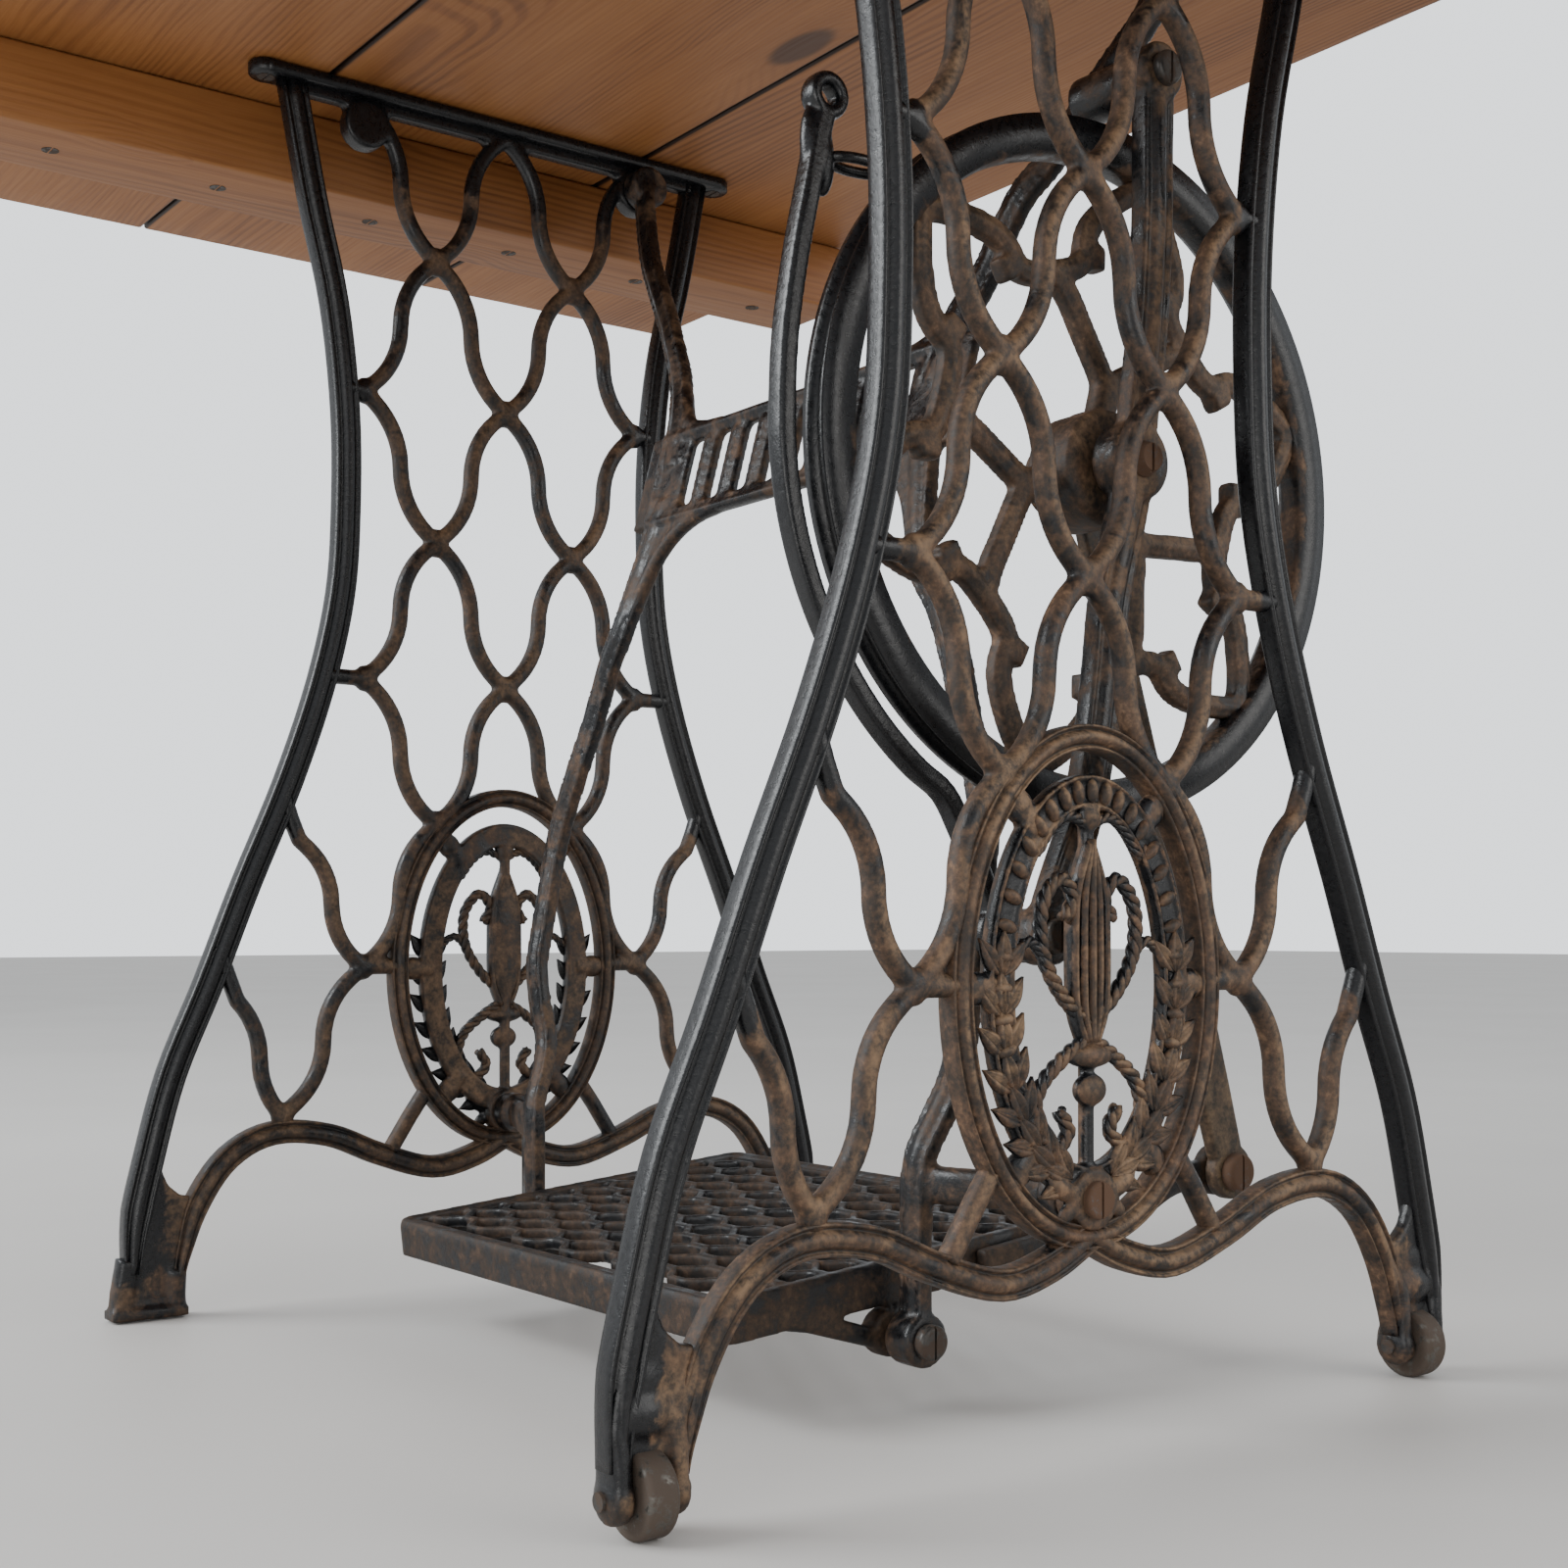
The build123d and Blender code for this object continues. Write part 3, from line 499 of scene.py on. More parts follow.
def wood(name, shift, light, turned=False):
    """Oiled old pine, grain along X (or Y when turned), with knots and rings."""
    g = Graph(name)
    place = g.coordinates()
    if turned:
        turn = g.node("Mapping", {"Vector": place, "Rotation": (0.0, 0.0, pi / 2)})
        place = turn.outputs["Vector"]
    moved = g.node("Mapping", {"Vector": place, "Location": shift})
    place = moved.outputs["Vector"]
    sway = g.stretched(place, (2.2, 9.0, 9.0))
    # knots: the middles of the cells that the colour picks
    cells = g.stretched(place, (8.0, 15.0, 13.0) if turned else (3.4, 8.5, 0.0))
    voronoi = g.node("TexVoronoi", {"Vector": cells, "Scale": 1.0, "Randomness": 0.95},
                     voronoi_dimensions="3D")
    reach = voronoi.outputs["Distance"]
    chosen = g.node("SeparateColor", {"Color": voronoi.outputs["Color"]}).outputs[0]
    chosen = g.band(chosen, 0.42, 0.46)
    swirl = g.math("MULTIPLY", g.band(reach, 0.42, 0.0), chosen)
    # growth rings about a wavering line above the board, bent round the knots
    split = g.node("SeparateXYZ", {"Vector": place})
    across = split.outputs["Y"]
    depth = split.outputs["Z"]
    bend = g.math("MULTIPLY", g.math("SUBTRACT", g.noise(sway, 1.0, 3.0, 0.5), 0.5), 0.055)
    bend = g.math("ADD", bend, g.math("MULTIPLY", split.outputs["X"], 0.035))
    sideways = g.math("ADD", across, bend)
    low = g.math("SUBTRACT", depth, PITH_HEIGHT)
    radius = g.math("SQRT", g.weighted((sideways, sideways), (low, low)))
    radius = g.math("ADD", radius, g.math("MULTIPLY", swirl, 0.012 if turned else 0.030))
    rings = g.band(g.math("SINE", g.math("MULTIPLY", radius, RING_RATE)), -0.5, 1.0)
    fibre = g.noise(g.stretched(place, (14.0, 520.0, 520.0)), 1.0, 4.0, 0.6)
    broad = g.noise(g.stretched(place, (2.0, 14.0, 14.0)), 1.0, 4.0, 0.6)
    faint = g.band(broad, 0.35, 0.70, 0.05, 0.24)
    tone = g.weighted((rings, faint), (fibre, 0.38), (broad, 0.50))
    colour = g.ramp(tone, [
        (0.30, lit((0.40, 0.170, 0.052), light)),
        (0.52, lit((0.31, 0.120, 0.034), light)),
        (0.74, lit((0.20, 0.072, 0.020), light)),
        (0.95, lit((0.11, 0.036, 0.011), light)),
    ])
    core = g.math("MULTIPLY", g.band(reach, 0.115, 0.075), chosen)
    halo = g.math("MULTIPLY", g.band(reach, 0.26, 0.06), chosen)
    colour = g.blend(g.math("MULTIPLY", halo, 0.45), colour, (0.20, 0.075, 0.022))
    colour = g.blend(g.math("MULTIPLY", core, 0.85), colour, (0.045, 0.018, 0.008))
    if not turned:
        # grime along the joints between the boards
        true_y = g.node("SeparateXYZ", {"Vector": g.coordinates()}).outputs["Y"]
        front, rear = (g.math("ABSOLUTE", g.math("SUBTRACT", true_y, y * MM)) for y in BOARD_EDGES[1:3])
        joint = g.math("MINIMUM", front, rear)
        joint = g.math("ADD", joint, g.math("MULTIPLY", g.math("SUBTRACT", broad, 0.5), 0.002))
        colour = g.blend(g.band(joint, 0.0034, 0.0016), colour, (0.018, 0.008, 0.004))
    g.set("Base Color", colour)
    g.set("Roughness", g.math("ADD", g.math("MULTIPLY", fibre, 0.18), 0.42))
    g.set("Specular IOR Level", 0.4)
    g.bump(g.weighted((fibre, 0.6), (rings, -0.3)), 0.35, 0.0006)
    return g.material


frame_iron = iron("frame_iron", enamel=0.38, dust_and_highlight=0.85)
# painted shade: the far frame and the far medallion are darker copies of the near ones, with less ochre
# highlight
shaded_far_frame_iron = iron("shaded_far_frame_iron", enamel=0.42, dust_and_highlight=0.45, light=0.75)
medallion_iron = iron("medallion_iron", enamel=0.26, dust_and_highlight=1.0, light=1.15)
shaded_far_medallion_iron = iron("shaded_far_medallion_iron", enamel=0.38, dust_and_highlight=0.45, light=0.8)
brace_metal = iron("brace_metal", enamel=0.50, dust_and_highlight=0.30, use_paint=False, light=0.75)
guard_metal = iron("guard_metal", enamel=0.92, dust_and_highlight=0.2, use_paint=False, gloss=0.26)
wheel_metal = iron("wheel_metal", enamel=0.34, dust_and_highlight=0.55)
treadle_metal = iron("treadle_metal", enamel=0.46, dust_and_highlight=0.14, use_paint=False, gloss=0.36, light=0.50)
bracket_metal = iron("bracket_metal", enamel=0.48, dust_and_highlight=0.50, use_paint=False)
pitman_metal = iron("pitman_metal", enamel=0.34, dust_and_highlight=0.60, warm=0.92, use_paint=False)
dark_steel = steel("dark_steel", (0.08, 0.075, 0.07), (0.045, 0.028, 0.018), 0.6)
rusty_steel = steel("rusty_steel", (0.12, 0.10, 0.09), (0.085, 0.044, 0.024), 0.9, 0.5, 0.5)
caster_steel = steel("caster_steel", (0.14, 0.13, 0.115), (0.060, 0.042, 0.030), 0.75, 0.42, 0.85)
dull_brass = steel("dull_brass", (0.30, 0.21, 0.10), (0.08, 0.05, 0.025), 0.6, 0.4, 0.9)


# ---- side frames
def level(k):
    """Height of the lattice's nodes in row k."""
    return LATTICE_BASE + LATTICE_PITCH * k


def ogee(start, end, lean=50.0, steps=7):
    """S-shaped strand: leaves both nodes leaning, upright at its middle."""
    across = (end[0] - start[0]) / 2
    rise = (end[1] - start[1]) / 2
    flattest = 2 * atan(abs(across) / abs(rise))
    steepest = flattest / 2
    slope = max(min(radians(lean), flattest - 0.01), steepest + 0.01)
    side = 1 if across > 0 else -1
    way = 1 if rise > 0 else -1
    bend = (1 - cos(slope)) / sin(slope)
    straight = (abs(across) - bend * abs(rise)) / (sin(slope) - bend * cos(slope))
    radius = (abs(rise) - straight * cos(slope)) / sin(slope)
    half = [(0.0, 0.0)]
    for i in range(steps + 1):
        angle = slope * (1 - i / steps)
        y = straight * sin(slope) + radius * (cos(angle) - cos(slope))
        z = straight * cos(slope) + radius * (sin(slope) - sin(angle))
        half.append((side * y, way * z))
    near = [(start[0] + y, start[1] + z) for y, z in half]
    far = [(end[0] - y, end[1] - z) for y, z in reversed(half[:-1])]
    return near + far


POST = flowing([(140, 706), (127, 640), (113, 580), (106, 518), (105.5, 460), (109, 410), (121, 357),
                (141, 299), (166, 240), (188, 184), (209, 134), (222, 86), (229, 54), (231.5, 26)], 5)
BAR = flowing([(-1, 88), (22, 77), (50, 72), (84, 82), (116, 95), (150, 98), (176, 86), (194, 62),
               (202.5, 36), (205.5, 22)], 5)


def strands():
    """The lattice on one side of the middle, as lines of (y, z) points."""
    cell = HALF_CELL
    lines = []
    for upper, lower in ((7, 5), (5, 3)):
        for outer in (0, 2 * cell):
            lines.append(ogee((outer, level(upper)), (cell, level(upper - 1))))
            lines.append(ogee((cell, level(upper - 1)), (outer, level(lower))))
    # below the waist, where the medallion takes the middle
    lines += [
        ogee((0, level(3)), (cell, level(2))),
        ogee((2 * cell, level(3)), (cell, level(2))),
        ogee((cell, level(2)), (2 * cell, level(1))),
        [(145, 296), (139, 278)] + ogee((134, 266), (2 * cell, level(1))),
        ogee((2 * cell, level(1)), (LOW_NODE_Y, level(0))),
        [(183, 206), (176, 187)] + ogee((171, 174), (LOW_NODE_Y, level(0))),
    ]
    # stubs to the post, the medallion and the bar
    lines += [
        [(2 * cell, level(5)), (107, level(5))],
        [(2 * cell, level(3)), (119, level(3))],
        [(2 * cell, level(1)), (72, level(1))],
        [(54, 117), (64, 103), (77, 83)],
    ]
    return lines


def frame_castings(on_casters):
    """One side frame without its medallion, standing in the plane x = 0.

    The mouldings of the post, the bar and the rail are kept crisp.
    """
    cast = Cast()
    crisp = Cast()
    bar = rounded(9.4, 10.4, 2.3)
    for way in (-1, 1):
        for line in strands():
            cast.sweep(in_plane(line, 0, way), bar)
        for k in (2, 4, 6):
            cast.ball((0, way * HALF_CELL, level(k)), (5.6, 6.2, 9.0))
        for k in (5, 3, 1):
            cast.ball((0, way * 2 * HALF_CELL, level(k)), (5.6, 6.0, 8.0))
        cast.ball((0, way * LOW_NODE_Y, level(0)), (5.6, 7.0, 8.0))
        for line, section in ((POST, moulded(15.4, 14.0)), (BAR, moulded(13.4, 12.6))):
            narrowing = [0.55 + 0.45 * min(max((z - 26) / 34, 0), 1) for y, z in line]
            crisp.sweep(in_plane(line, 0, way), section, sizes=narrowing)
        # foot: a thin web between two ridges
        web = [(196, 66), (203, 36), (207, 12), (235, 12), (231, 40), (222, 84), (216.5, 86),
               (211, 73), (204, 67)]
        cast.prism([(way * a, b) for a, b in web], -3.4, 3.4)
        # lug for the brace bolt under the rail
        cast.disc((0, way * BRACE_BOLT_Y, BRACE_BOLT_Z), 14.0, 12.6)
        if on_casters:
            fork(cast, way)
        else:
            standing_foot(cast, way)
    for k in (3, 5):
        cast.ball((0, 0, level(k)), (5.6, 6.0, 8.5))
    # rail and its web under the top
    rail_z = 706.2
    rail = [(0, y, rail_z) for y in (-157, -154, 0, 154, 157)]
    crisp.sweep(rail, rounded(21.4, 7.4, 6), up=UPWARD)
    for way in (-1, 1):
        crisp.disc((0, way * 154.5, rail_z), 10.4, 7.4, axis="z")
    cast.block((-4.5, -141, 697), (4.5, 141, 704))
    return cast, crisp


def standing_foot(cast, way):
    """Two ridges that run down to a flat pad."""
    for line, wide in (([(206, 26), (206.5, 12), (206, 1)], 11),
                       ([(233, 34), (236, 16), (237.5, 1)], 12)):
        cast.sweep(in_plane(line, 0, way), rounded(wide, 12.5, 3))
    middle = way * 222
    cast.block((-8, middle - 21, 1.0), (8, middle + 21, 7.0))
    cast.block((-5, middle - 17, 6.0), (5, middle + 17, 12.0))


def fork(cast, way):
    """Cheeks under a foot that straddle the caster."""
    y = way * FOOT_Y
    from_post = [(215, 112), (221.5, 88), (226.5, 66)]
    from_bar = [(178, 84), (190, 68), (199, 54)]
    for start, side in ((from_post, way), (from_bar, -way)):
        line = [(way * a, b) for a, b in start]
        line += [(y + side * 12.6, 42), (y + side * 12.2, 32), (y + side * 11.8, 15)]
        line = flowing(line, 5)
        depths = np.linspace(7.0, 18.0, len(line))
        cast.rings([[(b, across + a, height) for a, b in rounded(8.6, depth, 3)]
                    for (across, height), depth in zip(line, depths)])
    # eyes of the caster's pin, and the pin's domed ends
    for side in (-1, 1):
        cast.disc((0, y + side * 11.8, 16), 9.4, 8.2, axis="y", edge=1.5)
        cast.disc((0, y + side * 16.2, 16), 5.6, 2.2, axis="y", edge=0.8)
    cast.ball((0, y, 44), (6.8, 14.5, 9.5))
    cast.ball((0, y, 56), (4.6, 12.0, 10.0))


def on_oval(half_width, half_height, angle):
    """(y, z) of the point at an angle of an oval round the medallion's middle."""
    return half_width * cos(angle), OVAL_Z + half_height * sin(angle)


def oval(half_width, half_height, steps=96):
    return [on_oval(half_width, half_height, 2 * pi * i / steps) for i in range(steps)]


def medallion():
    """Oval with a beaded band, a laurel and a symmetrical scrolled bud.

    Outward is +x; the back is plain. Returns what is melted and what stays crisp.
    """
    cast = Cast()
    crisp = Cast()
    band_wide, band_tall = 50.5, 81.5
    crisp.sweep(in_plane(oval(72, 104), 0), moulded(10.8, 13.4), closed=True)
    cast.sweep(in_plane(oval(band_wide, band_tall), 0), rounded(12.6, 6.4, 5), closed=True)
    for half_width, half_height in ((56.2, 87.2), (44.6, 75.6)):
        cast.sweep(in_plane(oval(half_width, half_height), 0.6), rounded(2.6, 8.6), closed=True)
    # bridges between the band and the ring
    for turn in (0, 52, 128, 180, 232, 308):
        angle = radians(turn)
        ends = [on_oval(50, 81, angle), on_oval(70, 102, angle)]
        cast.sweep(in_plane(ends, 0), rounded(11, 9, 2.5))
        cast.ball((0, *on_oval(62, 93.5, angle)), (5.0, 8.0, 7.0), angle)
    # long beads round the upper part of the band
    beads = 25
    for i in range(beads):
        angle = radians(-18 + 216 * i / (beads - 1))
        crisp.ball((3.0, *on_oval(50.4, 81.4, angle)), (3.6, 2.9, 5.4), angle - pi / 2, steps=12)
    # laurel on the lower part: leaves in threes along a stalk, rising from the bolt
    for way in (-1, 1):
        for i in range(8):
            turn = radians(-90 + way * (13 + 11.5 * i))
            base = on_oval(band_wide, band_tall, turn)
            ahead = atan2(band_tall * cos(turn), -band_wide * sin(turn)) + (pi if way < 0 else 0)
            for spread, length, lift in ((-0.70, 19.5, 2.2), (0.70, 19.5, 2.2), (0.0, 19.0, 2.9)):
                crisp.leaf((lift, *base), ahead + spread, length, 9.0, 3.5)
    # boss of the bolt, with a bow of ribbon beside it
    cast.disc((0.5, 0, LOW_BOLT_Z), 13.0, 12.0)
    for way in (-1, 1):
        cast.ball((3.4, way * 17, 108), (3.4, 9.0, 4.6), way * 0.5)
        cast.ball((3.4, way * 14, 98), (3.0, 6.0, 3.6), -way * 0.7)
    # upright stem and fluted bud
    cast.sweep(in_plane([(0, 112), (0, 150), (0, 200), (0, 262)], 0), rounded(6.5, 7.0))
    for flute in (-2, -1, 0, 1, 2):
        bow = flute * 4.6
        line = [(bow * 0.35, 168), (bow * 0.9, 182), (bow, 206), (bow * 0.85, 230), (0, 252)]
        crisp.sweep(in_plane(flowing(line, 6), 2.0 - 0.5 * abs(flute)), rounded(3.9, 8.4))
    for x, z, radii in ((-1.4, 208, (3.6, 11.0, 38.0)), (2.0, 162, (5.6, 13.0, 5.0)),
                        (2.0, 148, (5.0, 9.0, 7.0)), (1.0, 262, (5.0, 6.0, 7.0))):
        cast.ball((x, 0, z), radii)
    # paired scrolls of twisted cord
    scrolls = (
        ([(0, 176), (14, 186), (26, 204), (27, 224), (17, 236), (9, 228), (14, 219)], 6.6),
        ([(0, 170), (14, 162), (28, 150), (31, 134), (21, 124), (12, 131), (17, 140)], 6.6),
        ([(26, 204), (34, 210), (44, 204)], 5.0),
        ([(30, 140), (36, 146), (42, 158)], 5.0),
        ([(0, 258), (12, 262), (22, 256), (30, 246), (34, 250)], 5.2),
    )
    for way in (-1, 1):
        for line, thick in scrolls:
            rope(crisp, flowing([(way * y, z) for y, z in line], 6), 1.6, thick)
    return cast, crisp


def rope(cast, path, x, thick):
    """Twisted cord: three thin strands wound round a line."""
    path = np.array(path, float)
    steps = np.linalg.norm(np.diff(path, axis=0), axis=1)
    along = np.concatenate([[0], np.cumsum(steps)])
    count = max(12, int(along[-1] / 1.5))
    even = np.linspace(0, along[-1], count)
    y = np.interp(even, along, path[:, 0])
    z = np.interp(even, along, path[:, 1])
    ahead = unit(np.gradient(np.stack([y, z], 1), axis=0))
    for strand in range(3):
        angle = even / thick * 2.4 + 2 * pi * strand / 3
        out = np.cos(angle) * thick * 0.24
        over = np.sin(angle) * thick * 0.24
        line = [(x + o, a - t[1] * s, b + t[0] * s) for o, s, a, b, t in zip(out, over, y, z, ahead)]
        cast.sweep(line, rounded(thick * 0.56, thick * 0.56, steps=8))


def add_frames():
    relief, ring = medallion()
    ornament = melt(relief, "right_medallion", 0.95, 2, ring)
    # enamel is left in the hollows of the outer face, inside the ring
    spots = positions(ornament)
    recess = np.clip((spots[:, 0] + 1.0) / 2.0, 0, 1) * (1 - np.clip((spots[:, 0] - 3.4) / 1.6, 0, 1))
    inside = np.hypot(spots[:, 1] / 64, (spots[:, 2] - OVAL_Z) / 96) < 1
    paint(ornament, 0.55 * recess * inside)
    for name, side, surface, plate_surface in (("right", 1, frame_iron, medallion_iron),
                                               ("left", -1, shaded_far_frame_iron, shaded_far_medallion_iron)):
        melted = Cast()
        crisp = Cast()
        for part, source in zip((melted, crisp), frame_castings(side > 0)):
            part.extend(source, lambda p, s=side: (s * (FRAME_X + p[0]), p[1], p[2]))
        obj = melt(melted, name + "_frame", 1.5, 3, crisp)
        # enamel is left on the posts and the rail, less of it near the floor
        across, height = positions(obj)[:, 1:].T
        near_post = distance_to(np.stack([np.abs(across), height], 1), POST[::2])
        share = 1 - np.clip((near_post - 6.5) / 10.0, 0, 1)
        share = np.maximum(share, np.clip((height - 655) / 22, 0, 1))
        paint(obj, share * (0.62 + 0.38 * np.clip((height - 30) / 70, 0, 1)))
        finish_piece(obj, surface, "cast_iron", "table", name + "_side_frame")
        if side > 0:
            plate = ornament
            plate.data.transform(Matrix.Translation((FRAME_X * MM, 0, 0)))
        else:
            mesh = ornament.data.copy()
            mesh.transform(Matrix.Scale(-1, 4, OUTWARD))
            mesh.flip_normals()
            plate = add_object("left_medallion", mesh)
        finish_piece(plate, plate_surface, "cast_iron", "table", name + "_side_frame")


# ---- back brace
LEAN = [(20, -25), (70, -25), (84, -25), (112, -24), (138, -14), (149, -11), (192, -12), (214, -8),
        (257, -1), (279, 2), (309, 5), (336, 9), (388, 12), (445, 26), (497, 40), (530, 52),
        (545, 55), (563, 58), (577, 64), (595, 69), (613, 74), (632, 80), (688, 93), (704, 94)]


def leaning(x, z, lift=0.0):
    """Point of the brace's leaning middle surface, or lifted off its front."""
    heights, depths = zip(*LEAN)
    return (x, float(np.interp(z, heights, depths)) - lift, z)


def back_brace():
    cast = Cast()
    upper = [(114, 478), (121, 507), (132, 530), (139, 545), (150, 563), (163, 577), (178, 595),
             (193, 613), (209, 632), (224, 660), (236, 688)]
    lower = [(112, 458), (120, 425), (131, 388), (146, 365), (159, 336), (170, 309), (183, 279),
             (188, 257), (189, 235), (190, 214), (189, 192), (186, 171), (180, 149), (175, 132),
             (171, 112), (170, 84), (170, 34)]
    flares = [[(70, 497), (92, 499), (110, 506), (124, 526)],
              [(52, 447), (84, 442), (108, 426), (125, 392)]]
    fans = [[(84, 447), (124, 470), (127, 430), (134, 388), (125, 394), (108, 428)],
            [(104, 494), (125, 478), (127, 505), (131, 528), (124, 520), (114, 505)]]
    for way in (-1, 1):
        for line, wide in ((upper, 15.0), (lower, 15.5)):
            path = flowing([leaning(way * x, z) for x, z in line], 4)
            swell = [1.0 + 0.55 * max(0.0, 1 - abs(point[2] - 470) / 75) for point in path]
            cast.sweep(path, moulded(wide, 10.8), up=FORWARD, sizes=swell)
        # flares and webs where the arms run into the plate
        for line in flares:
            path = flowing([leaning(way * x, z) for x, z in line], 5)
            cast.sweep(path, rounded(8.0, 9.0), up=FORWARD)
        for fan in fans:
            cast.rings([[leaning(way * x, z, lift) for x, z in fan] for lift in (3.6, -3.6)])
        # bosses for the bolts and the pivot
        cast.disc((way * 236.5, BRACE_BOLT_Y, BRACE_BOLT_Z), 13.0, 14.0)
        cast.disc((way * 237.6, 0, LOW_BOLT_Z), 12.0, 12.0)
        arm = [(way * x, y, LOW_BOLT_Z) for x, y in ((170, -22), (190, -19), (212, -9), (236, 0))]
        cast.sweep(flowing(arm, 5), rounded(17, 10, 3), up=FORWARD)
        cast.disc((way * 170, PIVOT_Y, PIVOT_Z), 12.0, 16.6)
    plate(cast)
    # bosses that carry the wheel bracket
    cast.sweep([(183, 66, 598), (200, 67, 598), (218, 67, 598)], rounded(23, 23), up=UPWARD)
    cast.sweep([(179, -2, 212), (185, -1, 212), (191.5, -1, 212)], rounded(23, 23), up=UPWARD)
    obj = melt(cast, "brace", 1.5, 3)
    finish_piece(obj, brace_metal, "brace_iron", "table", "back_brace")


def plate(cast):
    """Bordered panel with eight upright openings between nine bars."""
    for z in (447.5, 495.5):
        cast.sweep([leaning(x, z) for x in (-127, 0, 127)], rounded(9.0, 7.4, 6), up=FORWARD)
    for bar in range(-4, 5):
        x = 26 * bar
        wide = 14.0
        if abs(bar) == 4:
            x += 15 if bar > 0 else -15
            wide = 44.0
        else:
            cast.sweep([leaning(x, z, 3.0) for z in (452, 471, 491)], rounded(4.0, 3.6), up=FORWARD)
        cast.sweep([leaning(x, z) for z in (444, 460, 480, 499)], rounded(wide, 6.4, 6), up=FORWARD)
    border = [(-124, 446), (124, 446), (124, 497), (-124, 497)]
    for a, b in zip(border, border[1:] + border[:1]):
        path = [leaning(a[0] + (b[0] - a[0]) * t, a[1] + (b[1] - a[1]) * t, 3.4) for t in (0, 0.5, 1)]
        cast.sweep(path, rounded(4.0, 4.4), up=FORWARD)


# ---- flywheel, its bracket and the guard
def circle(x, centre, radius, steps):
    """Ring of points in the plane x = const, round a (y, z) centre."""
    turns = [2 * pi * i / steps for i in range(steps)]
    return [(x, centre[0] + radius * cos(turn), centre[1] + radius * sin(turn)) for turn in turns]


def around(radius, angle, x=0.0):
    """Point beside the wheel's axis, at a radius and an angle in degrees."""
    turn = radians(angle)
    return (x, AXLE_Y + radius * cos(turn), AXLE_Z + radius * sin(turn))


def lathe(cast, outline, steps=120):
    """Closed (x, radius) outline turned about the wheel's axis."""
    rings = []
    for i in range(steps):
        rings.append([around(radius, 360 * i / steps, x) for x, radius in outline])
    cast.rings(rings, closed=True)


def flywheel():
    """Grooved rim, six scalloped cells and three forked spokes."""
    cast = Cast()
    crisp = Cast()
    rim = [(191.4, 141), (191.2, 150), (192, 157.4), (196, 157.8), (198, 155.0), (200.5, 153.6),
           (203, 155.0), (205, 157.8), (206.4, 157.4), (206.9, 150), (206.7, 141), (203.5, 139.6),
           (194.5, 139.6)]
    lathe(crisp, rim, 144)
    middle = 199.2
    bar = moulded(11.0, 10.6)

    scallop = [(142, 30), (131, 24.5), (121, 19.5), (112, 15.5), (104, 13.6), (96, 13.2)]
    knuckle = [(96, 13.2), (91.5, 9), (90, 4.5), (89.5, 0)]
    fork_arm = [(40, 0), (48, 8), (56, 14.5), (66, 20), (78, 24.5), (92, 30)]

    def ribbon(line, centre, way):
        """Bar through (radius, angle) points beside a centre line."""
        path = flowing([around(r, centre + way * a, middle) for r, a in line], 4)
        cast.sweep(path, bar)

    for number in range(6):
        centre = 45 + 60 * number
        for way in (-1, 1):
            ribbon(scallop, centre, way)
            ribbon(knuckle, centre, way)
            # square nub outside each knuckle
            nub = [around(r, centre + way * 16.6, middle) for r in (92, 98, 103)]
            cast.sweep(nub, rounded(10, 10.5, 4))
    for spoke in range(3):
        centre = 75 + 120 * spoke
        cast.sweep([around(r, centre, middle) for r in (20, 32, 46)], rounded(15, 11, 3))
        for way in (-1, 1):
            ribbon(fork_arm, centre, way)
    # hub
    lathe(cast, [(185.2, 10), (185.2, 23.5), (187, 26.4), (212, 26.4), (213.8, 23.5), (213.8, 10)], 64)
    obj = melt(cast, "flywheel_casting", 1.5, 3, crisp)
    # enamel is left on the rim
    spots = positions(obj)
    reach = np.hypot(spots[:, 1] - AXLE_Y, spots[:, 2] - AXLE_Z)
    paint(obj, np.clip((reach - 137) / 12, 0, 1) * 0.95)
    finish_piece(obj, wheel_metal, "wheel_iron", "flywheel", "flywheel")


def wheel_bracket():
    """Upright that carries the wheel's axle beside the brace."""
    cast = Cast()
    line = [BRACKET_TOP, (66.5, 565), (66, 530), (63, 485), (57, 445), (51, 405), (39, 362), (34, 325),
            (27, 284), (19, 258), (9, 236), BRACKET_FOOT]
    cast.sweep(in_plane(flowing(line, 4), BRACKET_X), moulded(18.5, 13.4))
    cast.disc((BRACKET_X, *BRACKET_TOP), 12.8, 13.6)
    cast.disc((BRACKET_X, *BRACKET_FOOT), 12.8, 13.6)
    cast.disc((211.5, *BRACKET_FOOT), 11.8, 16.6)
    cast.disc((224.6, AXLE_Y + 0.5, AXLE_Z), 17.6, 16.4, edge=2.0)
    obj = melt(cast, "bracket", 1.2, 3)
    finish_piece(obj, bracket_metal, "brace_iron", "table", "wheel_bracket")


def dress_guard():
    """Bar beside the wheel that keeps clothes off it."""
    cast = Cast()
    line = [(-98, 551), (-101, 540), (-105, 522), (-112, 490), (-117.5, 455)]
    line += [around(GUARD_RADIUS, angle)[1:] for angle in range(180, 241, 6)]
    line += [(-22, 256), (-11, 236), (-2, 214)]
    cast.sweep(in_plane(flowing(line, 4), GUARD_X), guard_section())
    # swelling under the head, then the eyed head
    cast.ball((GUARD_X, -101, 534), (5.4, 8.0, 19.0), 0.12)
    cast.sweep(circle(GUARD_X, (-97, 557), 7.0, 24), rounded(6.0, 10.6, 3), closed=True)
    cast.disc((GUARD_X, *BRACKET_FOOT), 13.8, 10.6, edge=2.0)
    obj = melt(cast, "guard", 1.0, 3)
    finish_piece(obj, guard_metal, "guard_iron", "table", "dress_guard")


